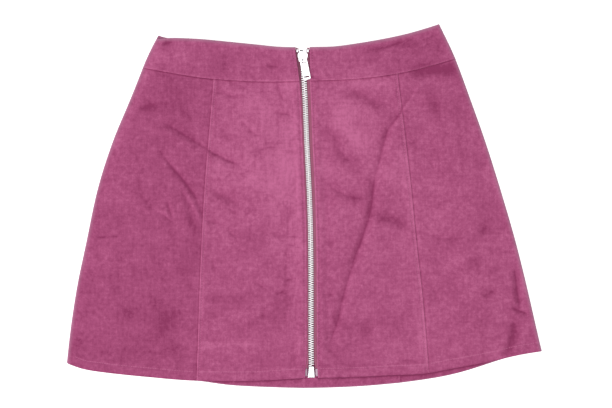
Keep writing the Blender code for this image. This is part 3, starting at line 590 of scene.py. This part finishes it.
def tape(name, painted_light, painted_shade_above):
    """Woven polyester tape with ribs across it, with painted light, and painted shade beside the waistband.
    """
    finish = Finish(name)
    up_the_zip = finish.node("ShaderNodeSeparateXYZ", {}, {"Vector": finish.place()}, output="Y")
    turns = up_the_zip * (2 * math.pi / (TAPE_RIB * MM))
    ribs = finish.node("ShaderNodeMath", {"operation": "SINE"}, {0: turns}) * 0.5 + 0.5
    weave = finish.noise(0.0005, detail=1.0)
    worn = finish.noise(0.012, detail=2.0)
    share = ribs * 0.45 + weave * 0.35 + worn * 0.2
    below, above = (
        finish.tones(share, TAPE_COLOUR, darkest=0.62 * level, lightest=1.45 * level)
        for level in (painted_light, painted_shade_above)
    )
    start, end = (y * MM for y in TAPE_SHADE_FROM)
    colour = finish.colour_mix(finish.spread(up_the_zip, start, end, 0.0, 1.0), below, above)
    finish.set(base_color=colour, roughness=0.82, sheen_weight=0.08)
    finish.set(normal=finish.bump(ribs * 0.7 + weave * 0.3, depth=0.00012, strength=0.7))
    return finish.material


def nickel(name, plate, smoothest, roughest):
    """Plated metal with faint rubs and pits."""
    finish = Finish(name)
    rubs = finish.noise(0.0022, detail=3.0, roughness=0.7, stretch=(1, 0.4, 1))
    pits = finish.noise(0.0004, detail=1.0)
    finish.set(base_color=finish.tones(rubs, plate, darkest=0.86), metallic=1.0)
    finish.set(roughness=finish.spread(rubs, *NOISE_RANGE, smoothest, roughest))
    finish.set(normal=finish.bump(pits, depth=0.00002, strength=0.35))
    return finish.material


def film():
    """Clear stiffening film, pressed over the tape so that its weave shows through."""
    finish = Finish("zip film")
    weave = finish.noise(0.0006, detail=1.0)
    cloudy = finish.noise(0.004, detail=2.0)
    finish.set(base_color=finish.tones(weave * 0.5 + cloudy * 0.5, FILM_COLOUR, darkest=0.72))
    finish.set(roughness=0.24, coat_weight=0.4, coat_roughness=0.12)
    finish.set(normal=finish.bump(weave, depth=0.00005, strength=0.5))
    return finish.material


def pale_table():
    """A white table top that glows a little, so that it stays white beside the cloth."""
    finish = Finish("pale table")
    speck = finish.noise(0.3, detail=2.0)
    finish.set(base_color=finish.tones(speck, (1, 1, 1), darkest=0.90, lightest=0.93), roughness=0.8)
    finish.set(emission_color=(1, 1, 1), emission_strength=FLOOR_GLOW)
    return finish.material


# ---------------------------------------------------------------- lines on the cloth


def smooth_path(points, per_span):
    """A smooth run through the points, with that many finer points for each span between two of them."""
    points = np.array(points, float)
    ends = np.vstack([2 * points[0] - points[1], points, 2 * points[-1] - points[-2]])
    share = np.linspace(0, 1, per_span, endpoint=False)[:, None]
    runs = []
    for before, start, end, after in zip(ends, ends[1:], ends[2:], ends[3:]):
        pull = (end - before) / 2
        release = (after - start) / 2
        bend = start + pull * share + (3 * (end - start) - 2 * pull - release) * share**2
        runs.append(bend + (2 * (start - end) + pull + release) * share**3)
    return np.vstack([*runs, points[-1:]])


def lengths_along(path):
    """How far along the run each of its points lies."""
    steps = np.linalg.norm(np.diff(path, axis=0), axis=1)
    return np.concatenate([[0], np.cumsum(steps)])


def headings(path):
    """The direction of the run at each of its points."""
    ahead = np.gradient(path, axis=0)
    return ahead / np.linalg.norm(ahead, axis=1)[:, None]


def leftward(ahead):
    """The directions turned a quarter to the left."""
    return np.stack([-ahead[:, 1], ahead[:, 0]], axis=1)


def read_at(values, along, where):
    """Values that are known at some lengths along a run, read at other lengths."""
    return np.stack([np.interp(where, along, column) for column in values.T], axis=1)


def resampled(path, pitch):
    """The same run with a point at each pitch, and the direction there."""
    along = lengths_along(path)
    count = max(int(along[-1] / pitch), 2)
    spots = read_at(path, along, (np.arange(count) + 0.5) * along[-1] / count)
    return spots, headings(spots)


def nearest_on(path, spots):
    """For each spot, its distance from the run, above zero on the left, and how far along it lies."""
    start = path[:-1]
    along = np.diff(path, axis=0)
    reach = spots[:, None, :] - start[None]
    share = np.clip((reach * along).sum(2) / (along**2).sum(1), 0, 1)
    away = reach - along * share[..., None]
    distance = np.linalg.norm(away, axis=2)
    best = distance.argmin(1)
    rows = np.arange(len(spots))
    side = np.sign(along[best, 0] * reach[rows, best, 1] - along[best, 1] * reach[rows, best, 0])
    travelled = lengths_along(path)
    where = travelled[best] + share[rows, best] * (travelled[best + 1] - travelled[best])
    return side * distance[rows, best], where


def eased(value):
    """From 0 to 1, held there outside, with a soft start and a soft end."""
    value = np.clip(value, 0, 1)
    return value * value * (3 - 2 * value)


def hump(distance, width):
    """1 on the line, falling away to each side over that width."""
    return np.exp(-((distance / width) ** 2))


def near_creases(rows, spots):
    """Goes through the creases that come near any of the spots.

    Each gives its rise and half width, the spots near it, how far they lie from it, its width on their
    side, and the share of its rise that is left at their place along it.
    """
    for rise, half_width, lean, fade, *points in rows:
        path = smooth_path(points, CREASE_SPAN)
        reach = CREASE_REACH * half_width
        low, high = path.min(0) - reach, path.max(0) + reach
        near = np.flatnonzero(((spots > low) & (spots < high)).all(1))
        if not len(near):
            continue
        distance, where = nearest_on(path, spots[near])
        run = lengths_along(path)[-1]
        left = eased(where / (fade * run)) * eased((run - where) / (fade * run))
        width = half_width * np.where(distance < 0, 1 - LEAN_SHARE * lean, 1 + LEAN_SHARE * lean)
        yield rise, half_width, near, distance, width, left


def crease_relief(rows, spots):
    """Height in millimetres that the creases give at each spot."""
    height = np.zeros(len(spots))
    for rise, _, near, distance, width, left in near_creases(rows, spots):
        height[near] += rise * hump(distance, width) * left
    return height


def fold_lines(rows, spots):
    """The distance to the nearest sharp trough's bottom, and how deep that trough is there."""
    fold_distance, fold_depth = np.full(len(spots), FAR), np.zeros(len(spots))
    for rise, half_width, near, distance, _, left in near_creases(rows, spots):
        if rise > 0 or half_width > SHARP_CREASE:
            continue
        closer = np.abs(distance) < np.abs(fold_distance[near])
        fold_distance[near[closer]] = distance[closer]
        fold_depth[near[closer]] = -rise * left[closer] ** FOLD_LINE_HOLD
    return np.abs(fold_distance), fold_depth


def waves(spots, length, seed, height):
    """Gentle unevenness with about that wave length."""
    random = np.random.default_rng(seed)
    turns = random.uniform(0, math.pi, WAVE_COUNT)
    stretches = random.uniform(*WAVE_LENGTHS, WAVE_COUNT)
    starts = random.uniform(0, 2 * math.pi, WAVE_COUNT)
    total = np.zeros(len(spots))
    for turn, stretch, start in zip(turns, stretches, starts):
        across = spots @ np.array([math.cos(turn), math.sin(turn)])
        total += np.sin(across * 2 * math.pi / (length * stretch) + start)
    return height * total / math.sqrt(WAVE_COUNT)


def nap_and_painted_shading_of(spots, creases, patches):
    """How dark each spot is: the nap's lie and painted shade from the patches, painted shade and light from
    creases.
    """
    dark = np.zeros(len(spots))
    for x, y, half_length, half_width, turn, depth in patches:
        ahead = np.array([math.cos(math.radians(turn)), math.sin(math.radians(turn))])
        away = spots - np.array([x, y])
        along = away @ ahead / half_length
        across = (away[:, 1] * ahead[0] - away[:, 0] * ahead[1]) / half_width
        dark += depth * np.exp(-(along**2 + across**2))
    # Painted shade in troughs and on flanks facing away from the window, painted highlight on ridges and
    # flanks facing it
    step = np.array(FLANK_STEP)
    rise = crease_relief(creases, spots + step) - crease_relief(creases, spots - step)
    slope = rise / (2 * np.hypot(*step))
    height = crease_relief(creases, spots)
    dark -= FLANK_SHADE * np.clip(slope, -STEEPEST, STEEPEST)
    return dark - np.where(height < 0, TROUGH_SHADE, RIDGE_LIGHT) * height


# ---------------------------------------------------------------- pieces


def merged_copy(node):
    """A bmesh of a CAD node with its loose triangles merged into one closed skin."""
    bm = bmesh.new()
    bm.from_mesh(frame["nodes"][node].data)
    bmesh.ops.remove_doubles(bm, verts=bm.verts, dist=MERGE)
    return bm


def merged_cells(node, slant):
    """The same, with its triangles joined in pairs into cells that are out of square by slant at most."""
    bm = merged_copy(node)
    bmesh.ops.join_triangles(
        bm, faces=bm.faces[:], angle_face_threshold=JOINED, angle_shape_threshold=slant, cmp_seam=False,
        cmp_sharp=False, cmp_uvs=False, cmp_vcols=False, cmp_materials=False,
    )
    return bm


def mesh_object(name, bm, material, smooth=True):
    """Turns the bmesh into an object in the scene."""
    mesh = bpy.data.meshes.new(name)
    bm.to_mesh(mesh)
    bm.free()
    if smooth:
        mesh.shade_smooth()
    mesh.materials.append(material)
    made = bpy.data.objects.new(name, mesh)
    bpy.context.scene.collection.objects.link(made)
    return made


def made_final(obj):
    """Turns the object's modifiers into its mesh."""
    graph = bpy.context.evaluated_depsgraph_get()
    mesh = bpy.data.meshes.new_from_object(obj.evaluated_get(graph))
    old = obj.data
    obj.modifiers.clear()
    obj.data = mesh
    bpy.data.meshes.remove(old)


def declared(made, slot, body="skirt", node=None):
    """Attaches the piece to the body that it rides on and hides the solid that it stands for; slot is not
    used.
    """
    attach(made, body)
    if node:
        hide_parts(node)


# ---------------------------------------------------------------- cloth pieces

# Tops and hems run from left to right and sides from the waist down: 1 where the run's left lies outside
OUTWARD = {"top": 1, "hem": -1, "left": -1, "right": 1}

# Where each side lies from the panel's middle: the axis, and which way along it
LIES = {"top": (1, 1), "hem": (1, -1), "left": (0, -1), "right": (0, 1)}


def run_of(corner, edge, sharp, corners):
    """The corners of the mesh met on the way from one end of a side to its other end."""
    run = [corner]
    while True:
        run.append(edge.other_vert(run[-1]))
        if run[-1] in corners:
            return run
        edge = next(other for other in run[-1].link_edges if other in sharp and other is not edge)


def outer_sides(bm, up):
    """The four outer edge lines of a panel's solid in millimetres, by side, and all its sharp edges."""
    sharp = {edge for edge in bm.edges if edge.calc_face_angle(0) > SHARP}
    corners = {vert for vert in bm.verts if sum(edge in sharp for edge in vert.link_edges) == 3}
    runs = {}
    for corner in corners:
        for edge in corner.link_edges:
            if edge not in sharp:
                continue
            run = run_of(corner, edge, sharp, corners)
            points = np.array([vert.co for vert in run]) / MM
            if lengths_along(points)[-1] > SHORTEST_SIDE:
                runs[frozenset((run[0].index, run[-1].index))] = points
    middle = np.mean([points.mean(0) for points in runs.values()], axis=0)
    sides = {}
    for name, (axis, out) in LIES.items():
        # Of the two lines that lie furthest out, one above the other, the one on the cloth's outside
        furthest = sorted(runs.values(), key=lambda points: out * (points.mean(0) - middle)[axis])[-2:]
        chosen = max(furthest, key=lambda points: up * points[:, 2].mean() + out * points[:, axis].mean())
        order = chosen[:, 0] if axis else -chosen[:, 1]
        sides[name] = chosen if order[0] < order[-1] else chosen[::-1]
    return sides, sharp


def outward_at(path, where, turn):
    """The direction out of the panel at each length along one of its sides."""
    return turn * leftward(read_at(headings(path), lengths_along(path), where))


def inset_row(sides, side, distance, trim):
    """A row of stitches: the side's line moved into the panel, less a trim at both ends."""
    path = smooth_path(sides[side][:, :2], ROW_SPAN)
    path = path - OUTWARD[side] * distance * leftward(headings(path))
    along = lengths_along(path)
    return path[(along >= trim) & (along <= along[-1] - trim)]


def panel_form(node, material, up):
    """A panel on its solid's form, cut finer with its folds and edges kept, and its outer edge lines."""
    bm = merged_cells(node, CLOTH_CELL)
    bm.normal_update()
    bm.verts.index_update()
    crisp = bm.edges.layers.float.new("crease_edge")
    sides, sharp = outer_sides(bm, up)
    for edge in sharp:
        first, second = edge.verts
        upright = abs((first.co - second.co).normalized().z) > UPRIGHT
        edge[crisp] = 1.0 if upright else SOFT_EDGE
    piece = mesh_object(f"{node}_cloth", bm, material)
    finer = piece.modifiers.new("finer", "SUBSURF")
    finer.levels = finer.render_levels = FINENESS
    made_final(piece)
    return piece, sides


def along_edges(sides, edges, hems_above, spots):
    """What a panel's edges do to each spot.

    That is the layers that its shading reads, how freely the cloth creases there, from 0 to 1, how far it
    sinks, and which way and how far it swells.
    """
    edge_distance, seam_distance, rim_distance = np.full((3, len(spots)), FAR)
    seam_tint, sink = np.zeros((2, len(spots)))
    swell = np.zeros((len(spots), 2))
    for side, line in sides.items():
        path = smooth_path(line[:, :2], EDGE_SPAN)
        distance, where = nearest_on(path, spots)
        distance = np.abs(distance)
        edge_distance = np.minimum(edge_distance, distance)
        if side not in edges:
            # A side that isn't sewn takes a painted sheen
            rim_distance = np.minimum(rim_distance, distance * (HEM_RIM if side == "hem" else 1))
            continue
        # A sewn side's tint is painted shade above zero and painted light below it
        tint, dip, close = edges[side]
        seam_tint = np.where(distance < seam_distance, tint, seam_tint)
        seam_distance = np.minimum(seam_distance, distance)
        near = eased(1 - distance / SEAM_REACH)
        swell += close * near[:, None] * outward_at(path, where, OUTWARD[side])
        sink += dip * hump(distance, DIP_REACH)
    # Painted shade on this piece along the hems that lie over it
    for line in hems_above:
        distance = np.abs(nearest_on(smooth_path(line[:, :2], EDGE_SPAN), spots)[0]) * HEM_SHADE_CLOSE
        seam_tint = np.where(distance < seam_distance, HEM_SHADE, seam_tint)
        seam_distance = np.minimum(seam_distance, distance)
    layers = {"seam_distance": seam_distance, "seam_tint": seam_tint, "rim_distance": rim_distance}
    return layers, eased(edge_distance / CALM_REACH), sink, swell


def along_rows(lines, tints, up, spots):
    """What rows of stitches do to each spot: the layers that its shading reads, and how far it rises."""
    row_distance = np.full(len(spots), FAR)
    row_tint, lift = np.zeros((2, len(spots)))
    drift, drift_length = PUCKER_DRIFT
    for line, tint in zip(lines, tints):
        distance, where = nearest_on(line, spots)
        distance = np.abs(distance)
        row_tint = np.where(distance < row_distance, tint, row_tint)
        row_distance = np.minimum(row_distance, distance)
        lift -= up * STITCH_DIP * hump(distance, STITCH_DIP_REACH)
        pucker = np.sin(where * 2 * math.pi / PUCKER_LENGTH + drift * np.sin(where / drift_length))
        lift += SEAM_PUCKER * (pucker + (1 if up < 0 else 0)) * np.exp(-distance / PUCKER_REACH)
    return {"row_distance": row_distance, "row_tint": row_tint}, lift


def cloth_piece(node, material, creases, up, rows, edges, tone, hems_above):
    """A cloth piece on its solid's form, finer, with its creases, its sunk edges and its rows' dips.

    up is 1 where its outside faces up and -1 where it faces the table. tone is how much darker it lies
    than the middle of the cloth's colours, partly its own tone and partly painted light and shade. edges
    gives each sewn or stitched side's tint, which is painted shade and light, its dip and its swell.
    hems_above are the edge lines of other pieces whose shade is painted on it.
    """
    piece, sides = panel_form(node, material, up)
    mesh = piece.data
    points = np.empty(len(mesh.vertices) * 3, np.float32)
    mesh.vertices.foreach_get("co", points)
    points = points.reshape(-1, 3).astype(float) / MM
    spots = points[:, :2]
    lines = [inset_row(sides, side, distance, trim) for _, side, distance, trim, _ in rows]
    edge_layers, calm, sink, swell = along_edges(sides, edges, hems_above, spots)
    row_layers, row_lift = along_rows(lines, [row[-1] for row in rows], up, spots)
    lift = crease_relief(creases, spots) * (EDGE_CREASES + (1 - EDGE_CREASES) * calm) - up * sink + row_lift
    if up > 0:
        # Panels with longer or shorter names start from other seeds, so they don't wave alike
        for length, seed, height in WAVES:
            lift += waves(spots, length, seed + len(node), height) * calm
        patches = FRONT_NAP_AND_SHADE_PATCHES
    else:
        # The level underside only lifts off the table, and the folds at the sides keep their shape
        lift = np.maximum(lift, 0) * (1 - np.clip(points[:, 2] / UNDERSIDE_TOP, 0, 1))
        patches = BACK_NAP_AND_SHADE_PATCHES
    points[:, 2] += lift
    points[:, :2] += swell
    mesh.vertices.foreach_set("co", (points * MM).astype(np.float32).ravel())
    fold_distance, fold_depth = fold_lines(creases, spots)
    layers = {
        "nap": tone + nap_and_painted_shading_of(spots, creases, patches), "fold_distance": fold_distance,
        "fold_depth": fold_depth, **edge_layers, **row_layers,
    }
    for name, values in layers.items():
        layer = mesh.attributes.new(name, "FLOAT", "POINT")
        layer.data.foreach_set("value", values.astype(np.float32))
    mesh.update()
    return piece, sides, lines


def stitches(name, piece, row, material, up):
    """A row of stitches lying on the piece's outside."""
    surface = BVHTree.FromObject(piece, bpy.context.evaluated_depsgraph_get())
    bm = bmesh.new()
    for (x, y), (ahead_x, ahead_y) in zip(*resampled(row, STITCH_PITCH)):
        start = Vector((x * MM, y * MM, up * CLEAR * MM))
        place, normal, _, _ = surface.ray_cast(start, Vector((0, 0, -up)))
        if place is None:
            continue
        along = Vector((ahead_x, ahead_y, 0))
        along = (along - normal * along.dot(normal)).normalized()
        turn = Matrix((along, normal.cross(along), normal)).transposed().to_4x4()
        middle = Matrix.Translation(place - normal * (STITCH_SINK[up] * MM))
        matrix = middle @ turn @ Matrix.Diagonal((*(size * MM for size in STITCH_SIZE), 1))
        bmesh.ops.create_uvsphere(bm, u_segments=6, v_segments=4, radius=0.5, matrix=matrix)
    made = mesh_object(name, bm, material)
    declared(made, "suede")
    return made


def declare_cut(piece, sides):
    """Works out the flat cut of what shows of the piece, from its outer edge lines, and keeps it nowhere.
    """
    run = {name: lengths_along(line * MM)[-1] for name, line in sides.items()}
    flat = (max(run["top"], run["hem"]), max(run["left"], run["right"]))


# Each panel's name and slot, its tones on the left and on the right, its rows of stitches, and its sides
# that are sewn or edge-stitched. A tone is partly the panel's own and partly painted: on the fronts painted
# light and shade that even out the window's light across the skirt, on the backs painted shade. A row of
# stitches has its name, side, distance in, trim at the ends and tint. A side has its tint, which is painted
# shade above zero and painted light below it, how far it sinks, and how far it swells to its neighbour.
# "inner" and "outer" are the sides towards the zip and away from it.
HEM = ("hem", "hem", HEM_ROW, 1, -0.5)
FRONTS = (
    (
        "front_side", "suede", (0.22, -0.10), (HEM,),
        {"top": (1.2, 0.40, SEAM_CLOSE), "inner": (0.55, 0.22, SEAM_CLOSE), "hem": (0.4, 0.0, 0.0)},
    ),
    (
        "front_centre", "suede", (-0.12, -0.12),
        (HEM, ("seam", "outer", SEAM_ROW, 1, 0.15), ("zip", "inner", ZIP_ROW, 1, 0.7)),
        {
            "top": (1.2, 0.40, SEAM_CLOSE), "outer": (-0.5, 0.0, SEAM_CLOSE), "inner": (-0.5, 0.0, 0.0),
            "hem": (0.4, 0.0, 0.0),
        },
    ),
    (
        "waistband_front", "suede_band", (0.05, 0.05), (("zip", "inner", ZIP_ROW, 2, 0.6),),
        {"hem": (-0.4, 0.0, SEAM_CLOSE), "inner": (-0.3, 0.0, 0.0)},
    ),
)
BACKS = (
    (
        "back_side", "suede", (0.30, 0.30), (HEM,),
        {"top": (1.0, 0.20, SEAM_CLOSE), "inner": (1.0, 0.20, SEAM_CLOSE)},
    ),
    (
        "back_centre", "suede", (0.20, 0.20), (HEM, ("seam", "outer", SEAM_ROW, 1, 0.35)),
        {
            "top": (1.0, 0.20, SEAM_CLOSE), "outer": (-0.8, 0.0, SEAM_CLOSE),
            "inner": (-0.6, 0.04, SEAM_CLOSE),
        },
    ),
)
BACK_BAND = ("waistband_back", "suede_band", (0.0, 0.0), (), {"hem": (-0.4, 0.0, SEAM_CLOSE)})


def side_called(word, half):
    """The side of a panel on that half that "outer" or "inner" stands for."""
    other = {"left": "right", "right": "left"}[half]
    return {"outer": half, "inner": other}.get(word, word)


def make_panel(node, half, plan, up, cloth, sewn, hems_above=()):
    """Makes one panel with its stitches, and gives its outer edge lines."""
    _, slot, tones, rows, edges = plan
    rows = [(name, side_called(side, half), *rest) for name, side, *rest in rows]
    edges = {side_called(side, half): values for side, values in edges.items()}
    creases = CREASES[node] if up > 0 else BACK_CREASES
    tone = tones[half == "right"]
    piece, sides, lines = cloth_piece(node, cloth, creases, up, rows, edges, tone, hems_above)
    declared(piece, slot, node=node)
    made = [stitches(f"{node}_{row[0]}_stitches", piece, line, sewn, up) for row, line in zip(rows, lines)]
    if up < 0:
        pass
    elif "waistband" in node:
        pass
    else:
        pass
    declare_cut(piece, sides)
    return sides


def make_cloth(cloth, sewn):
    """Makes the fronts, and then the backs, on which the shade of the fronts' hems is painted."""
    front_hems = []
    for half in ("left", "right"):
        for plan in FRONTS:
            sides = make_panel(f"{plan[0]}_{half}", half, plan, 1, cloth, sewn)
            if plan[1] == "suede":
                front_hems.append(sides["hem"])
    for half in ("left", "right"):
        for plan in BACKS:
            make_panel(f"{plan[0]}_{half}", half, plan, -1, cloth, sewn, front_hems)
    make_panel("waistband_back", "left", BACK_BAND, -1, cloth, sewn)


# ---------------------------------------------------------------- zip


def centre_line(node):
    """The line down the middle of a bar that runs along Y, in millimetres."""
    bm = merged_copy(node)
    points = np.array([vert.co[:] for vert in bm.verts]) / MM
    bm.free()
    heights = np.round(points[:, 1], 2)
    return np.array([points[heights == y].mean(0) for y in np.unique(heights)[::-1]])


def tooth(bm, matrix):
    """One metal tooth, from the tape's edge at x = 0 to its tip, rounded all over."""
    made = bmesh.ops.create_cube(bm, size=1.0)["verts"]
    for vert in made:
        at_tip = vert.co.x > 0
        vert.co.x = (vert.co.x + 0.5) * (TEETH_HALF + TOOTH_OVERLAP)
        vert.co.y *= TOOTH_TIP if at_tip else TOOTH_LENGTH
        vert.co.z *= TOOTH_DEPTH * (TIP_DEPTH if at_tip else 1.0)
    edges = {edge for vert in made for edge in vert.link_edges}
    bevelled = bmesh.ops.bevel(
        bm, geom=list(edges), offset=TOOTH_ROUND, segments=2, profile=0.5, affect="EDGES", material=-1
    )
    shape = {vert for face in bevelled["faces"] for vert in face.verts}
    bmesh.ops.transform(bm, matrix=matrix, verts=list(shape))


def make_teeth(metal):
    """The two sides' single teeth, which lock along the chain's middle."""
    row, ahead = resampled(centre_line("zip_chain"), TOOTH_PITCH)
    for side, out, start in (("left", -1, TOOTH_START), ("right", 1, -TOOTH_START)):
        bm = bmesh.new()
        for place, along in zip(row, ahead):
            middle = place + along * TOOTH_PITCH * start
            inward = Vector((along[1], -along[0], 0)).normalized() * out
            upward = inward.cross(Vector(along)).normalized()
            turn = Matrix((inward, Vector(along), upward)).transposed().to_4x4()
            root = Vector(middle) - inward * TEETH_HALF
            tooth(bm, Matrix.Scale(MM, 4) @ Matrix.Translation(root) @ turn)
        made = mesh_object(f"zip_teeth_{side}", bm, metal)
        made.data.set_sharp_from_angle(angle=SHARP)
        declared(made, "nickel", node="zip_chain")


def rounded_edges(made, width, corner):
    """Rounds each corner that turns by more than this, and keeps the crisp ones crisp in the shading."""
    rounded = made.modifiers.new("rounded", "BEVEL")
    rounded.width = width * MM
    rounded.segments = 2
    rounded.limit_method = "ANGLE"
    rounded.angle_limit = corner
    made_final(made)
    made.data.shade_smooth()
    made.data.set_sharp_from_angle(angle=CRISP)


def roll_hinge_bar(bm, joint):
    """Rounds the bar that turns on this hinge, so that it clears what it turns round."""
    line, along = Vector(joint["pos_m"]), Vector(joint["axis"]).normalized()
    bar = [
        edge for edge in bm.edges if edge.calc_length() > BAR_SHORTEST * MM
        and all((vert.co - line).cross(along).length < BAR_REACH * MM for vert in edge.verts)
    ]
    bmesh.ops.bevel(
        bm, geom=bar, offset=BAR_ROUND * MM, offset_type="OFFSET", segments=4, profile=0.5,
        affect="EDGES", clamp_overlap=True, material=-1,
    )


def metal_piece(node, metal, width, body="skirt"):
    """A cast metal piece on its solid's form, its edges rounded by this width."""
    bm = merged_copy(node)
    bmesh.ops.dissolve_limit(bm, angle_limit=LEVEL, verts=bm.verts[:], edges=bm.edges[:])
    for joint in frame["joints"]:
        if joint["child"] == body:
            roll_hinge_bar(bm, joint)
    made = mesh_object(f"{node}_metal", bm, metal)
    rounded_edges(made, width, CORNER)
    for face in made.data.polygons:
        face.use_smooth = face.area < FLAT_FROM * MM * MM
    declared(made, "nickel", body, node)


def strip_piece(node, material, slot):
    """A thin strip on its solid's form, its edges rounded."""
    made = mesh_object(f"{node}_strip", merged_cells(node, STRIP_CELL), material)
    rounded_edges(made, STRIP_ROUND, SHARP)
    declared(made, slot, node=node)


def top_past(node, y):
    """How high in metres the node's solid reaches past this y."""
    return max(vert.co.z for vert in frame["nodes"][node].data.vertices if vert.co.y > y * MM)


def tape_end(side, woven):
    """The tape's top end, its corner turned in past the waistband's edge."""
    x, y, turn = TAPE_ENDS[side]
    foot, top, height = (size * MM for size in TAPE_END_SIZE)
    place = Matrix.Translation((x * MM, y * MM, top_past(f"zip_tape_{side}", TAPE_TOP)))
    place = place @ Matrix.Rotation(math.radians(turn), 4, "Z")
    bm = bmesh.new()
    bmesh.ops.create_cone(
        bm, cap_ends=True, segments=3, radius1=foot, radius2=top, depth=height,
        matrix=place @ Matrix.Diagonal((1.0, TAPE_END_NARROW, 1.0, 1.0)),
    )
    declared(mesh_object(f"zip_tape_end_{side}", bm, woven, smooth=False), "tape")


def crown_painted_shadow(metal):
    """A thin dark plate on the slider's crown that paints the shadow at the foot of the pull's bail."""
    x, y = SHADOW_PLATE_AT
    place = Matrix.Translation((x * MM, y * MM, top_past("zip_slider", CROWN_FROM)))
    bm = bmesh.new()
    bmesh.ops.create_cube(bm, size=MM, matrix=place @ Matrix.Diagonal((*SHADOW_PLATE_SIZE, 1.0)))
    declared(mesh_object("zip_slider_painted_shadow", bm, metal, smooth=False), "nickel")


def make_zip():
    """Makes the teeth, the metal pieces, the tapes with their top ends, and the film."""
    metal = nickel("nickel plate", NICKEL_COLOUR, smoothest=0.16, roughest=0.34)
    woven = {
        # The left tape is painted lighter where the left panel's edge shades it, and darker beside the
        # waistband, in its shade
        "left": tape("zip tape, left, painted light and shade", painted_light=1.6, painted_shade_above=0.85),
        "right": tape("zip tape", painted_light=1.0, painted_shade_above=1.0),
    }
    clear = film()
    make_teeth(nickel("zip teeth", TEETH_COLOUR, smoothest=0.05, roughest=0.06))
    metal_piece("zip_slider", metal, width=0.28)
    metal_piece("zip_pull", metal, width=0.24, body="pull")
    metal_piece("zip_box", metal, width=0.35)
    for side in ("left", "right"):
        metal_piece(f"zip_top_stop_{side}", metal, width=0.3)
        strip_piece(f"zip_tape_{side}", woven[side], "tape")
        strip_piece(f"zip_film_{side}", clear, "film")
        tape_end(side, woven[side])
    # A dark plate that paints the shadow at the foot of the pull's bail
    crown_painted_shadow(nickel("painted_shadow", SHADOW_PLATE_COLOUR, smoothest=0.5, roughest=0.6))


# ---------------------------------------------------------------- table, light and camera


def make_table():
    """The table that the skirt lies on, just under it."""
    bm = bmesh.new()
    bmesh.ops.create_grid(
        bm, x_segments=2, y_segments=2, size=TABLE_SIZE, matrix=Matrix.Translation((0, 0, -TABLE_DROP))
    )
    mesh_object("table", bm, pale_table(), smooth=False)


def make_light():
    """Even light from all round, a bright window on one side and a softer lamp overhead."""
    world = bpy.data.worlds.new("studio")
    world.use_nodes = True
    world.node_tree.nodes["Background"].inputs["Color"].default_value = (1, 1, 1, 1)
    world.node_tree.nodes["Background"].inputs["Strength"].default_value = WORLD_LIGHT
    bpy.context.scene.world = world
    for name, (place, watts, size) in LIGHTS.items():
        light = bpy.data.lights.new(name, "AREA")
        light.energy = watts
        light.size = size
        lamp = bpy.data.objects.new(name, light)
        lamp.location = place
        lamp.rotation_euler = (-Vector(place)).to_track_quat("-Z", "Y").to_euler()
        bpy.context.scene.collection.objects.link(lamp)
    # Bright metal and the table go to full white under this view transform
    bpy.context.scene.view_settings.view_transform = "Standard"


def make_camera():
    """A camera straight above, with all of the skirt in view."""
    camera = bpy.data.cameras.new("camera")
    camera.sensor_width = SENSOR
    camera.lens = SENSOR * CAMERA_AT[2] / VIEW_WIDTH
    holder = bpy.data.objects.new("camera", camera)
    holder.location = CAMERA_AT
    bpy.context.scene.collection.objects.link(holder)
    bpy.context.scene.camera = holder


make_camera()
make_light()
make_table()
make_cloth(suede(), thread())
make_zip()
